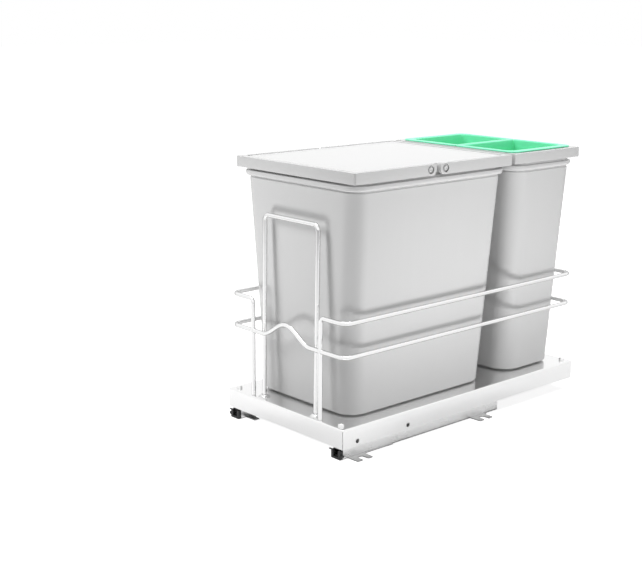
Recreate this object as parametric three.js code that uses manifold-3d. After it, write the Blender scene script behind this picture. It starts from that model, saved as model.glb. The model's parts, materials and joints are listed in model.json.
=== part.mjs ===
// Pull-out waste unit for a base cabinet: a folded steel tray on two telescopic rails, with a bent-wire
// basket and a wire handle, a lidded bin with two bail handles, and a second bin that holds two inserts.
// Millimetres. +Z is up, -Y is the front that faces the user, and z = 0 is the cabinet floor.

import * as THREE from 'three';
import { mergeVertices } from 'three/addons/utils/BufferGeometryUtils.js';
import Module from 'manifold-3d';

const wasm = await Module();
wasm.setup();

// ---------------------------------------------------------------- driving dimensions

const gap = 0.3; // fitting clearance between neighbouring pieces
const cutOver = 1; // how far a cutting tool runs past the face that it cuts

// Tray: a flat sheet with its four edges folded down.
const trayWidth = 258;
const trayDepth = 520;
const traySheet = 1.5;
const trayWall = 29.5;
const trayFold = 2.5; // outside radius of the fold
const trayCorner = 1.5; // plan radius where two folded edges meet
const trayPlay = 1.5; // drawer rail's ends from the fold
const cornerSlit = 0.8;
const sideHoleDiameter = 4.5;
const sideHoleDrop = 22; // below the tray's top
const sideHoleSetbacks = [28.6, 130.2]; // behind the tray's front edge

// Rails: fixed channel below, channel under the tray above, I-section and two ball cages between.
const railHeight = 44.5;
const railInset = 14.5; // rail centre from the tray's side
const channelWidth = 20;
const channelHeight = 16;
const channelSheet = 1.5;
const channelBend = 1.5;
const channelMouth = 7; // open width between the lips
const fixedRailLength = 331;
const fixedRailSetback = 5; // behind the tray's front edge
const midRailSetback = 10;
const midRailLength = 326;
const flangeWidth = 8.4;
const flangeThickness = 3;
const flangeLift = 4.5; // flange from the channel's floor
const webThickness = 2.4;
const cageLength = 160;
const cageSetback = 100;
const cageSheet = 0.9;
const cageFloorGap = 1.6; // cage floor from the flange
const cageBalls = 4; // in each row
const footReach = 22.5; // floor tab beyond the rail's side
const footLength = 34;
const footSlotWidth = 8;
const footSlotDepth = 14;
const footSetbacks = [10, 268]; // floor tabs behind the fixed rail's front end
const footTailLength = 58; // narrow strip that runs on behind the front tab
const footTailReach = 2;
const rearFootTail = 6;

// Black end clip in the mouth of each fixed rail.
const clipWidth = 19;
const clipHeight = 13;
const clipDepth = 4.6;
const clipFloor = 3.2;
const clipTabReach = 4.4;
const clipTabThickness = 1.6;
const clipProngReach = 4.4;
const clipProngHeight = 4;
const clipProngLift = 5.5;

// Dome bolts through the tray into the drawer rails.
const boltDiameter = 5;
const boltHeadDiameter = 8.4;
const boltHeadHeight = 3.6;
const boltHeadRim = 0.6;
const boltInset = 10; // from the tray's front and rear edges
const boltTip = 3.4; // bolt beyond the drawer rail's sheet
const railNutHeight = 2.7;
const smallNutFlats = 8;

// Basket of bent chrome wire.
const wireDiameter = 6.2;
const wireSides = 10;
const upperWireHeight = 148.3; // above the tray's top
const lowerWireHeight = 101.4;
const basketInsetX = 4.1; // wire centre from the tray's side
const basketInsetFront = 6;
const basketInsetRear = 9.7;
const basketCorner = 26; // plan radius of the wire's centre line
const postBend = 9;
const postSpacing = 152;
const humpHeight = 23;
const humpWidth = 108;
const studDiameter = 5; // threaded end of each post
const studLength = 8;
const studNutHeight = 4;

// Handle: one bent wire with flange nuts above the tray and lock nuts below it.
const handleDiameter = 7;
const handleSpacing = 116;
const handleHeight = 277; // centre line above the tray's top
const handleBend = 10;
const handleSetback = 12.8; // behind the tray's front edge
const handleLean = 3;
const handleStudDiameter = 6;
const handleStudLength = 9;
const flangeNutDiameter = 16;
const flangeNutHeight = 4;
const flangeNutRim = 1.3;
const handleNutFlats = 10;
const handleNutHeight = 5;

// What the two bins share. Heights are above the tray's top, and insets are from the band's outside.
const binWall = 2.2;
const binFloor = 2.5;
const binFoot = 12; // height of the rounded foot
const ledgeBottom = 326;
const ledgeTop = 336;
const ledgeRise = 1.5; // the ledge's slanted underside
const neckTop = 351.7;
const bandBottom = 341.2;
const bandTop = 356;
const bandMargin = 0.6; // band inside the tray's side
const bandSide = 4.9; // thickness of the band's side walls
const bandBar = 11; // thickness of its front and rear bars
const bandFlangeWidth = 9; // the band's flat top, from outside to inside
const bandCorner = 3;
const footSize = { insetX: 31.9, insetY: 26.5, radius: 26 };
const wallFootSize = { insetX: 24.4, insetY: 18.2, radius: 31 };
const wallTopSize = { insetX: 6.4, insetY: 7.5, radius: 27 };
const ledgeSize = { insetX: 1.9, insetY: 3.3, radius: 27 };
const neckSize = { insetX: 10.2, insetY: 12.4, radius: 22 };

// Front bin, its lid and its two bail handles.
const frontBandSetback = 18.2; // band's front face behind the tray's front edge
const frontBandLength = 327;
const lidPlate = 3.2;
const lidTop = 355.5;
const lidMargin = 1.6; // gap between the lid's edge and the bails
const lidSkirtDepth = 9;
const lidSkirtWall = 2;
const bailPivotSpacing = 31.2;
const bailTail = 12; // bail beyond its pivot
const bailEndRadius = 7;
const bailCorner = 6; // plan radius of the bails' inner corners
const pinDiameter = 4;
const pinHeadDiameter = 8.4;
const pinHeadThickness = 1.2;
const pinRecessDepth = 1.6;

// Rear bin, its one-piece ring and the two inserts.
const binSpacing = 7; // between the two bands
const rearBandLength = 158.6;
const insertMargin = 1; // gap between the rims and the ring's sides
const insertRimTop = 358.1;
const insertRimThickness = 1.8;
const insertRimWidth = 12;
const insertRimSeat = 5.6; // rim over the ring's front and rear bars
const insertDepth = 180;
const insertWall = 1.8;
const insertTaper = 6;
const insertFoot = 3; // height of the chamfered foot
const insertFootInset = 2;
const insertCorner = 14;
const insertSplit = 1.2; // between the two rims

// ---------------------------------------------------------------- places that follow from them

const trayTop = railHeight + traySheet;
const slitTop = trayTop - trayFold;
const trayFront = -trayDepth / 2;
const railX = trayWidth / 2 - railInset;
const wireRadius = wireDiameter / 2;
const channelInside = channelWidth / 2 - channelSheet;
const flangeBottom = channelSheet + flangeLift;
const drawerRailLength = trayDepth - 2 * (trayFold + trayPlay);
const basketX = trayWidth / 2 - basketInsetX;
const basketFront = trayFront + basketInsetFront;
const basketRear = -trayFront - basketInsetRear;
const postX = postSpacing / 2;
const rearPostY = basketRear - wireDiameter - gap;
const handleX = handleSpacing / 2;
const handleY = trayFront + handleSetback;
const bandHalfWidth = trayWidth / 2 - bandMargin;
const neckHalfX = bandHalfWidth - neckSize.insetX;
const frontBandStart = trayFront + frontBandSetback;
const frontBinY = frontBandStart + frontBandLength / 2;
const rearBandStart = frontBandStart + frontBandLength + binSpacing;
const rearBinY = rearBandStart + rearBandLength / 2;
const bandFlange = bandTop - neckTop - gap;
const pivotHeight = (bandBottom + bandTop) / 2;
const pinRadius = pinDiameter / 2;

// ---------------------------------------------------------------- materials

function finish(color, roughness, metalness) {
  return new THREE.MeshStandardMaterial({ color, roughness, metalness });
}

const satinSteel = finish(0xd9d9d6, 0.38, 0.85);
const zincSteel = finish(0xc4c6c8, 0.42, 0.9);
const chromeWire = finish(0xe6e8ea, 0.08, 1);
const boltSteel = finish(0xcdced0, 0.25, 1);
const blackPlastic = finish(0x121212, 0.5, 0);
const greyPlastic = finish(0xcfd0d2, 0.3, 0);
const lidPlastic = finish(0xdcdddf, 0.3, 0);
const greenPlastic = finish(0x52dd9a, 0.35, 0);

// ---------------------------------------------------------------- solids and booleans

// A closed geometry as a solid that can be joined and cut.
function solid(geometry) {
  const bare = geometry.clone();
  bare.deleteAttribute('normal');
  bare.deleteAttribute('uv');
  const merged = mergeVertices(bare, 1e-4);
  return new wasm.Manifold(
    new wasm.Mesh({
      numProp: 3,
      vertProperties: new Float32Array(merged.attributes.position.array),
      triVerts: new Uint32Array(merged.index.array),
    }),
  );
}

function geometryOf(body) {
  const { vertProperties, triVerts } = body.getMesh();
  const geometry = new THREE.BufferGeometry();
  geometry.setAttribute('position', new THREE.BufferAttribute(new Float32Array(vertProperties), 3));
  geometry.setIndex(new THREE.BufferAttribute(new Uint32Array(triVerts), 1));
  geometry.computeVertexNormals();
  return geometry;
}

// The first geometry with the others added to it.
function joined(base, ...others) {
  return geometryOf(others.reduce((body, other) => body.add(solid(other)), solid(base)));
}

// The first geometry with the others cut out of it.
function cut(base, ...tools) {
  return geometryOf(tools.reduce((body, tool) => body.subtract(solid(tool)), solid(base)));
}

function common(first, second) {
  return geometryOf(solid(first).intersect(solid(second)));
}

// ---------------------------------------------------------------- sections and prisms

function circle(radius, sides, turn = 0) {
  return Array.from({ length: sides }, (_, i) => {
    const angle = turn + (2 * Math.PI * i) / sides;
    return new THREE.Vector2(radius * Math.cos(angle), radius * Math.sin(angle));
  });
}

function rectangle(x0, y0, x1, y1) {
  return [[x0, y0], [x1, y0], [x1, y1], [x0, y1]].map(([x, y]) => new THREE.Vector2(x, y));
}

// The arc that rounds a corner between two neighbours, as points and the path's directions there.
function roundedCorner(before, corner, after, radius, steps) {
  const into = corner.clone().sub(before).normalize();
  const away = after.clone().sub(corner).normalize();
  const turn = Math.acos(THREE.MathUtils.clamp(into.dot(away), -1, 1));
  const reach = radius * Math.tan(turn / 2);
  const start = corner.clone().addScaledVector(into, -reach);
  const inward = away.clone().addScaledVector(into, -into.dot(away)).normalize();
  const centre = start.clone().addScaledVector(inward, radius);
  return Array.from({ length: steps + 1 }, (_, i) => {
    const angle = (turn * i) / steps;
    const sine = Math.sin(angle);
    const cosine = Math.cos(angle);
    const point = centre.clone();
    point.addScaledVector(inward, -radius * cosine).addScaledVector(into, radius * sine);
    const heading = into.clone().multiplyScalar(cosine).addScaledVector(inward, sine);
    return { point, heading };
  });
}

// A closed outline of [x, y, radius] corners, each rounded by its radius.
function outline(corners, steps = 3) {
  const points = corners.map(([x, y]) => new THREE.Vector2(x, y));
  return corners.flatMap(([, , radius = 0], i) => {
    if (radius === 0) return [points[i]];
    const before = points.at(i - 1);
    const after = points[(i + 1) % points.length];
    return roundedCorner(before, points[i], after, radius, steps).map((station) => station.point);
  });
}

// A prism on an outline in the XY plane, from z0 to z1, with optional holes.
function prism(points, z0, z1, holes = []) {
  const shape = new THREE.Shape(points);
  shape.holes = holes.map((hole) => new THREE.Path(hole));
  const geometry = new THREE.ExtrudeGeometry(shape, { depth: z1 - z0, bevelEnabled: false });
  return geometry.translate(0, 0, z0);
}

// A section drawn in the XZ plane, run along Y.
function alongY(points, y0, y1) {
  const place = new THREE.Matrix4().set(1, 0, 0, 0, 0, 0, -1, 0, 0, 1, 0, 0, 0, 0, 0, 1);
  return prism(points, -y1, -y0).applyMatrix4(place);
}

// A section drawn in the YZ plane, run along X.
function alongX(points, x0, x1) {
  const place = new THREE.Matrix4().set(0, 0, 1, 0, 1, 0, 0, 0, 0, 1, 0, 0, 0, 0, 0, 1);
  return prism(points, x0, x1).applyMatrix4(place);
}

function upright(x, y, radius, z0, z1, sides = 12) {
  return prism(circle(radius, sides), z0, z1).translate(x, y, 0);
}

function crossways(y, z, radius, x0, x1, sides = 14) {
  return alongX(circle(radius, sides), x0, x1).translate(0, y, z);
}

// ---------------------------------------------------------------- skins of stacked rings

// One level of a rounded-rectangle skin.
function ring(size, z, inset = 0, steps = 5) {
  const halfX = size.halfX - inset;
  const halfY = size.halfY - inset;
  const radius = Math.max(size.radius - inset, 0.5);
  const corners = [[halfX, -halfY], [halfX, halfY], [-halfX, halfY], [-halfX, -halfY]];
  return outline(corners.map(([x, y]) => [x, y, radius]), steps).map(
    (point) => new THREE.Vector3(point.x, point.y, z),
  );
}

// A closed skin through rings: it starts with a cap that faces down and ends with one that faces up.
function skin(rings) {
  const count = rings[0].length;
  const points = rings.flat();
  const index = [];
  for (let level = 0; level + 1 < rings.length; level += 1) {
    for (let i = 0; i < count; i += 1) {
      const a = level * count + i;
      const b = level * count + ((i + 1) % count);
      index.push(a, b, b + count, a, b + count, a + count);
    }
  }
  const last = points.length - count;
  for (let i = 1; i + 1 < count; i += 1) {
    index.push(0, i + 1, i, last, last + i, last + i + 1);
  }
  const geometry = new THREE.BufferGeometry().setFromPoints(points);
  geometry.setIndex(index);
  geometry.computeVertexNormals();
  return geometry;
}

// ---------------------------------------------------------------- bent wire

// A path whose stations are kept as they are given, so that bends and straights stay exact.
class WirePath extends THREE.Curve {
  constructor(stations) {
    super();
    this.stations = stations;
  }

  blend(key, t, target) {
    const last = this.stations.length - 1;
    const index = Math.min(Math.floor(t * last + 1e-9), last - 1);
    const from = this.stations[index][key];
    const to = this.stations[index + 1][key];
    return target.lerpVectors(from, to, t * last - index);
  }

  getPoint(t, target = new THREE.Vector3()) {
    return this.blend('point', t, target);
  }

  getPointAt(t, target) {
    return this.getPoint(t, target);
  }

  getTangent(t, target = new THREE.Vector3()) {
    return this.blend('heading', t, target).normalize();
  }

  getTangentAt(t, target) {
    return this.getTangent(t, target);
  }
}

// Wire along [x, y, z, bend radius] corners.
function bentStations(corners, steps = 5) {
  const points = corners.map(([x, y, z]) => new THREE.Vector3(x, y, z));
  const stations = [];
  points.forEach((point, i) => {
    if (i === 0 || i === points.length - 1) {
      const other = points[i === 0 ? 1 : i - 1];
      const heading = i === 0 ? other.clone().sub(point) : point.clone().sub(other);
      stations.push({ point, heading: heading.normalize() });
    } else {
      stations.push(...roundedCorner(points[i - 1], point, points[i + 1], corners[i][3], steps));
    }
  });
  return stations;
}

function wire(stations, diameter) {
  const section = new THREE.Shape(circle(diameter / 2, wireSides));
  const extrudePath = new WirePath(stations);
  return new THREE.ExtrudeGeometry(section, { steps: stations.length - 1, extrudePath });
}

// ---------------------------------------------------------------- scene graph

const unit = new THREE.Group();

function piece(name, geometry, material, x = 0, y = 0, z = 0) {
  const mesh = new THREE.Mesh(geometry, material);
  mesh.name = name;
  mesh.position.set(x, y, z);
  unit.add(mesh);
}

const sides = { left: -1, right: 1 };

// ---------------------------------------------------------------- tray

function trayShell() {
  const outside = { halfX: trayWidth / 2, halfY: trayDepth / 2, radius: trayCorner };
  const wallEnd = trayTop - trayWall;
  const innerFold = trayFold - traySheet;
  const foldSteps = 3;
  const inner = [ring(outside, wallEnd, traySheet, 2)];
  const outer = [ring(outside, wallEnd, 0, 2)];
  for (let i = 0; i <= foldSteps; i += 1) {
    const angle = (Math.PI / 2) * (i / foldSteps);
    const drop = 1 - Math.sin(angle);
    const pull = 1 - Math.cos(angle);
    inner.push(ring(outside, trayTop - traySheet - innerFold * drop, traySheet + innerFold * pull, 2));
    outer.push(ring(outside, trayTop - trayFold * drop, trayFold * pull, 2));
  }
  return skin([...inner.reverse(), ...outer]);
}

function trayHoles() {
  const reach = trayWidth / 2 + cutOver;
  const low = trayTop - traySheet - cutOver;
  const high = trayTop + cutOver;
  const hole = (x, y, diameter) => upright(x, y, diameter / 2 + gap, low, high);
  const tools = [];
  for (const side of Object.values(sides)) {
    tools.push(hole(side * railX, trayFront + boltInset, boltDiameter));
    tools.push(hole(side * railX, -trayFront - boltInset, boltDiameter));
    tools.push(hole(side * postX, basketFront, studDiameter));
    tools.push(hole(side * postX, rearPostY, studDiameter));
    tools.push(hole(side * handleX, handleY, handleStudDiameter));
  }
  for (const setback of sideHoleSetbacks) {
    const y = trayFront + setback;
    tools.push(crossways(y, trayTop - sideHoleDrop, sideHoleDiameter / 2, -reach, reach));
  }
  return tools;
}

// The folded sheet is held as its top with the fold, and as the four walls below it, which are open at
// the corners.
const trayWalls = {
  front: [[-1, -1], [1, -1]],
  rear: [[1, 1], [-1, 1]],
  left: [[-1, 1], [-1, -1]],
  right: [[1, -1], [1, 1]],
};

function trayPieces() {
  const sheet = cut(trayShell(), ...trayHoles());
  const cornerAt = ([x, y], grow) =>
    new THREE.Vector2(x * (trayWidth / 2 + grow), y * (trayDepth / 2 + grow));
  const slits = Object.values(trayWalls).map(([[x, y]]) => {
    const outline = rectangle(-2 * trayFold, -cornerSlit / 2, 2 * trayFold, cornerSlit / 2);
    const slit = prism(outline, trayTop - trayWall - cutOver, trayTop).rotateZ((x * y * Math.PI) / 4);
    return slit.translate((x * trayWidth) / 2, (y * trayDepth) / 2, 0);
  });
  const whole = [[-1, -1], [1, -1], [1, 1], [-1, 1]].map((corner) => cornerAt(corner, cutOver));
  piece('tray', common(sheet, prism(whole, slitTop, trayTop + cutOver)), satinSteel);
  for (const [name, [start, end]] of Object.entries(trayWalls)) {
    const inside = -2 * trayFold;
    const outline = [
      cornerAt(start, cutOver), cornerAt(end, cutOver), cornerAt(end, inside), cornerAt(start, inside),
    ];
    const wall = common(sheet, prism(outline, trayTop - trayWall - cutOver, slitTop));
    piece(`tray_wall_${name}`, cut(wall, ...slits), satinSteel);
  }
}

trayPieces();

// ---------------------------------------------------------------- rails

// The channel's section: open at the top, or at the bottom when it hangs from the given height.
function channelSection(hangFrom = null) {
  const half = channelWidth / 2;
  const mouth = channelMouth / 2;
  const lip = channelHeight - channelSheet;
  const inside = Math.max(channelBend - channelSheet, 0.1);
  const corners = [
    [-half, 0, channelBend], [half, 0, channelBend], [half, channelHeight], [mouth, channelHeight],
    [mouth, lip], [channelInside, lip], [channelInside, channelSheet, inside],
    [-channelInside, channelSheet, inside], [-channelInside, lip], [-mouth, lip],
    [-mouth, channelHeight], [-half, channelHeight],
  ];
  const height = (z) => (hangFrom === null ? z : hangFrom - z);
  return outline(corners.map(([x, z, radius]) => [x, height(z), radius]));
}

// A floor tab with an open screw slot, and the narrow strip that runs on behind it.
function footPlate(front, tail) {
  const root = channelInside;
  const reach = channelWidth / 2 + footReach;
  const tailReach = channelWidth / 2 + footTailReach;
  const far = front + footLength;
  const slotNear = (front + far - footSlotWidth) / 2;
  const slotFar = slotNear + footSlotWidth;
  const slotRoot = reach - footSlotDepth;
  const slotRound = 0.95 * (footSlotWidth / 2);
  const corners = [
    [root, front], [reach, front, 3], [reach, slotNear, 1.5], [slotRoot, slotNear, slotRound],
    [slotRoot, slotFar, slotRound], [reach, slotFar, 1.5], [reach, far, 3],
    [tailReach, far, 4], [tailReach, far + tail], [root, far + tail],
  ];
  return prism(outline(corners, 4), 0, channelSheet);
}

function fixedRail() {
  const [frontFoot, rearFoot] = footSetbacks;
  return joined(
    alongY(channelSection(), 0, fixedRailLength),
    footPlate(frontFoot, footTailLength),
    footPlate(rearFoot, rearFootTail),
  );
}

// I-section that joins the two channels.
function midRailSection() {
  const half = flangeWidth / 2;
  const web = webThickness / 2;
  const lowTop = flangeBottom + flangeThickness;
  const highTop = railHeight - flangeBottom;
  const highBottom = highTop - flangeThickness;
  return outline([
    [-half, flangeBottom, 0.5], [half, flangeBottom, 0.5], [half, lowTop, 0.5], [web, lowTop],
    [web, highBottom], [half, highBottom, 0.5], [half, highTop, 0.5], [-half, highTop, 0.5],
    [-half, highBottom, 0.5], [-web, highBottom], [-web, lowTop], [-half, lowTop, 0.5],
  ], 2);
}

// A U-shaped strip round one flange, with its balls held in both legs.
function ballCage(hangFrom = null) {
  const height = (z) => (hangFrom === null ? z : hangFrom - z);
  const ballRadius = (channelInside - flangeWidth / 2) / 2 - gap;
  const ballX = (channelInside + flangeWidth / 2) / 2;
  const ballZ = flangeBottom + flangeThickness / 2;
  const outerX = ballX + cageSheet / 2;
  const innerX = ballX - cageSheet / 2;
  const floorTop = flangeBottom - cageFloorGap;
  const floorBottom = floorTop - cageSheet;
  const legTop = ballZ + ballRadius + cageSheet;
  const section = [
    [-outerX, floorBottom], [outerX, floorBottom], [outerX, legTop], [innerX, legTop],
    [innerX, floorTop], [-innerX, floorTop], [-innerX, legTop], [-outerX, legTop],
  ];
  const strip = alongY(outline(section.map(([x, z]) => [x, height(z)])), 0, cageLength);
  const pitch = cageLength / cageBalls;
  const balls = [];
  for (const side of Object.values(sides)) {
    for (let i = 0; i < cageBalls; i += 1) {
      const ball = new THREE.SphereGeometry(ballRadius, 7, 4);
      balls.push(ball.translate(side * ballX, pitch * (i + 0.5), height(ballZ)));
    }
  }
  return joined(strip, ...balls);
}

function drawerRail() {
  const low = railHeight - channelSheet - cutOver;
  const high = railHeight + cutOver;
  const end = trayDepth / 2 - boltInset;
  return cut(
    alongY(channelSection(railHeight), -drawerRailLength / 2, drawerRailLength / 2),
    upright(0, -end, boltDiameter / 2 + gap, low, high),
    upright(0, end, boltDiameter / 2 + gap, low, high),
  );
}

// The end clip: a plate with a slot that lets the I-section out, a thin tab and a latch prong.
function railClip(side) {
  const half = clipWidth / 2;
  const slot = flangeWidth / 2 + 2 * gap;
  const prongEnd = half + clipProngReach;
  const prongLow = clipProngLift - clipProngHeight / 2;
  const prongTop = clipProngLift + clipProngHeight / 2;
  const plate = outline([
    [-half, 0, 1.2], [half, 0, 1.2], [half, clipHeight, 1], [slot, clipHeight], [slot, clipFloor],
    [-slot, clipFloor], [-slot, clipHeight], [-half, clipHeight, 1],
  ]);
  const tab = rectangle(-half - clipTabReach, clipHeight - clipTabThickness, -half + 1, clipHeight);
  const prong = outline([
    [half - 1, prongLow], [prongEnd - 2, prongLow, 0.6], [prongEnd, prongTop, 0.6], [half - 1, prongTop],
  ], 2);
  const latch = prong.map((point) => new THREE.Vector2(side * point.x, point.y));
  return joined(alongY(plate, 0, clipDepth), alongY(tab, 0, clipDepth / 2), alongY(latch, 0, clipDepth));
}

for (const [name, side] of Object.entries(sides)) {
  const x = side * railX;
  const fixedFront = trayFront + fixedRailSetback;
  const cageFront = trayFront + cageSetback;
  const midRail = alongY(midRailSection(), 0, midRailLength);
  piece(`fixed_rail_${name}`, fixedRail(), zincSteel, x, fixedFront);
  piece(`rail_clip_${name}`, railClip(side), blackPlastic, x, fixedFront - clipDepth - gap);
  piece(`mid_rail_${name}`, midRail, zincSteel, x, trayFront + midRailSetback);
  piece(`lower_ball_cage_${name}`, ballCage(), boltSteel, x, cageFront);
  piece(`upper_ball_cage_${name}`, ballCage(railHeight), boltSteel, x, cageFront);
  piece(`drawer_rail_${name}`, drawerRail(), zincSteel, x);
}

// ---------------------------------------------------------------- bolts and nuts

function domeBolt() {
  const shank = boltDiameter / 2;
  const head = boltHeadDiameter / 2;
  const tip = -traySheet - channelSheet - boltTip;
  const dome = Array.from({ length: 4 }, (_, i) => {
    const angle = (Math.PI / 2) * (i / 4);
    const rise = boltHeadRim + (boltHeadHeight - boltHeadRim) * Math.sin(angle);
    return new THREE.Vector2(head * Math.cos(angle), rise);
  });
  const profile = [new THREE.Vector2(0, tip), new THREE.Vector2(shank, tip), new THREE.Vector2(shank, 0)];
  profile.push(new THREE.Vector2(head, 0), ...dome, new THREE.Vector2(0, boltHeadHeight));
  return new THREE.LatheGeometry(profile, 16).rotateX(Math.PI / 2);
}

function hexNut(flats, bore, height) {
  const hexagon = circle(flats / 2 / Math.cos(Math.PI / 6), 6);
  return prism(hexagon, 0, height, [circle(bore / 2 + gap, 16)]);
}

const railUnderside = railHeight - channelSheet;
for (const [name, side] of Object.entries(sides)) {
  for (const [place, end] of [['front', -1], ['rear', 1]]) {
    const x = side * railX;
    const y = end * (trayDepth / 2 - boltInset);
    const nut = hexNut(smallNutFlats, boltDiameter, railNutHeight);
    piece(`dome_bolt_${place}_${name}`, domeBolt(), boltSteel, x, y, trayTop);
    piece(`rail_nut_${place}_${name}`, nut, boltSteel, x, y, railUnderside - railNutHeight);
  }
}

// ---------------------------------------------------------------- basket

// A threaded stud that carries a wire's lower end through the tray.
function stud(x, y, diameter, length) {
  return upright(x, y, diameter / 2, trayTop - traySheet - length, trayTop + 2 * wireRadius, 12);
}

// One wire: the front posts, the front corners, both sides and the rear.
function upperWire() {
  const z = trayTop + upperWireHeight;
  const path = wire(bentStations([
    [-postX, basketFront, trayTop], [-postX, basketFront, z, postBend],
    [-basketX, basketFront, z, basketCorner], [-basketX, basketRear, z, basketCorner],
    [basketX, basketRear, z, basketCorner], [basketX, basketFront, z, basketCorner],
    [postX, basketFront, z, postBend], [postX, basketFront, trayTop],
  ]), wireDiameter);
  const studs = [-postX, postX].map((x) => stud(x, basketFront, studDiameter, studLength));
  return joined(path, ...studs);
}

// The lower wire runs from the outside of one front post round to the other.
function lowerWire() {
  const z = trayTop + lowerWireHeight;
  const end = postX + wireRadius + gap;
  return wire(bentStations([
    [-end, basketFront, z], [-basketX, basketFront, z, basketCorner],
    [-basketX, basketRear, z, basketCorner], [basketX, basketRear, z, basketCorner],
    [basketX, basketFront, z, basketCorner], [end, basketFront, z],
  ]), wireDiameter);
}

// The front wire between the posts rises in a bell in front of the handle.
function humpWire() {
  const end = postX - wireRadius - gap;
  const steps = 24;
  const stations = [];
  const add = (x, rise, slope) => {
    const point = new THREE.Vector3(x, basketFront, trayTop + lowerWireHeight + rise);
    stations.push({ point, heading: new THREE.Vector3(1, 0, slope).normalize() });
  };
  add(-end, 0, 0);
  for (let i = 0; i <= steps; i += 1) {
    const phase = (2 * Math.PI * i) / steps;
    const slope = (Math.PI * humpHeight * Math.sin(phase)) / humpWidth;
    add(humpWidth * (i / steps - 0.5), (humpHeight / 2) * (1 - Math.cos(phase)), slope);
  }
  add(end, 0, 0);
  return wire(stations, wireDiameter);
}

function rearPost() {
  const top = trayTop + upperWireHeight + wireRadius;
  const post = prism(circle(wireRadius, wireSides), trayTop, top);
  return joined(post, stud(0, 0, studDiameter, studLength));
}

piece('basket_upper_wire', upperWire(), chromeWire);
piece('basket_lower_wire', lowerWire(), chromeWire);
piece('basket_front_hump_wire', humpWire(), chromeWire);
const underTray = trayTop - traySheet;
for (const [name, side] of Object.entries(sides)) {
  const x = side * postX;
  const nut = hexNut(smallNutFlats, studDiameter, studNutHeight);
  const nutZ = underTray - studNutHeight - gap;
  piece(`basket_rear_post_${name}`, rearPost(), chromeWire, x, rearPostY);
  piece(`post_nut_front_${name}`, nut, boltSteel, x, basketFront, nutZ);
  piece(`post_nut_rear_${name}`, nut, boltSteel, x, rearPostY, nutZ);
}

// ---------------------------------------------------------------- handle

function handleWire() {
  const foot = trayTop + gap;
  const top = trayTop + handleHeight;
  const path = wire(bentStations([
    [-handleX, 0, foot], [-handleX, handleLean, top, handleBend],
    [handleX, handleLean, top, handleBend], [handleX, 0, foot],
  ]), handleDiameter);
  const studs = [-handleX, handleX].map((x) => stud(x, 0, handleStudDiameter, handleStudLength));
  return joined(path, ...studs);
}

function flangeNut() {
  const bore = handleDiameter / 2 + gap;
  const shoulder = handleNutFlats / 2 / Math.cos(Math.PI / 6);
  const disc = prism(circle(flangeNutDiameter / 2, 24), 0, flangeNutRim, [circle(bore, 16)]);
  return joined(disc, prism(circle(shoulder, 6), 0, flangeNutHeight, [circle(bore, 16)]));
}

piece('handle', handleWire(), chromeWire, 0, handleY);
for (const [name, side] of Object.entries(sides)) {
  const x = side * handleX;
  const lock = hexNut(handleNutFlats, handleStudDiameter, handleNutHeight);
  piece(`handle_flange_nut_${name}`, flangeNut(), boltSteel, x, handleY, trayTop);
  piece(`handle_lock_nut_${name}`, lock, boltSteel, x, handleY, underTray - handleNutHeight - gap);
}

// ---------------------------------------------------------------- bins

// The same draft, foot, ledge and neck for a bin whose band has the given length.
function bin(bandLength, neckHalf = neckHalfX) {
  const fit = (size, halfX = bandHalfWidth - size.insetX) => (
    { halfX, halfY: bandLength / 2 - size.insetY, radius: size.radius }
  );
  const foot = fit(footSize);
  const wallFoot = fit(wallFootSize);
  const wallTop = fit(wallTopSize);
  const ledge = fit(ledgeSize);
  const neck = fit(neckSize, neckHalf);
  const between = (low, high, share) => {
    const mix = (key) => THREE.MathUtils.lerp(low[key], high[key], share);
    return { halfX: mix('halfX'), halfY: mix('halfY'), radius: mix('radius') };
  };
  const outer = [];
  for (const angle of [0, Math.PI / 6, Math.PI / 3]) {
    outer.push(ring(between(foot, wallFoot, Math.sin(angle)), binFoot * (1 - Math.cos(angle))));
  }
  outer.push(ring(wallFoot, binFoot));
  outer.push(ring(between(wallFoot, wallTop, 0.5), (binFoot + ledgeBottom) / 2));
  outer.push(ring(wallTop, ledgeBottom), ring(ledge, ledgeBottom + ledgeRise));
  outer.push(ring(ledge, ledgeTop - 1), ring(ledge, ledgeTop, 1));
  outer.push(ring(neck, ledgeTop), ring(neck, neckTop));
  const inner = [
    ring(neck, neckTop, binWall), ring(neck, ledgeBottom - binWall, binWall),
    ring(between(wallFoot, wallTop, 0.96), ledgeBottom - 4 * binWall, binWall),
    ring(wallFoot, binFoot, binWall), ring(foot, binFloor, binWall / 2),
  ];
  return skin([...outer, ...inner]);
}

// A band on the bin's top edge: side walls, thicker front and rear bars, and a flat inner flange.
function bandBody(length, radius) {
  const half = { halfX: bandHalfWidth, halfY: length / 2, radius: bandCorner };
  const flat = (points) => points.map((point) => new THREE.Vector2(point.x, point.y));
  const outside = flat(ring(half, 0, 0, 3));
  const opening = (inX) => {
    const size = { halfX: bandHalfWidth - inX, halfY: length / 2 - bandBar, radius };
    return flat(ring(size, 0, 0, 5));
  };
  const wall = prism(outside, bandBottom, bandTop, [opening(bandSide)]);
  return joined(wall, prism(outside, bandTop - bandFlange, bandTop, [opening(bandFlangeWidth)]));
}

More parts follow.
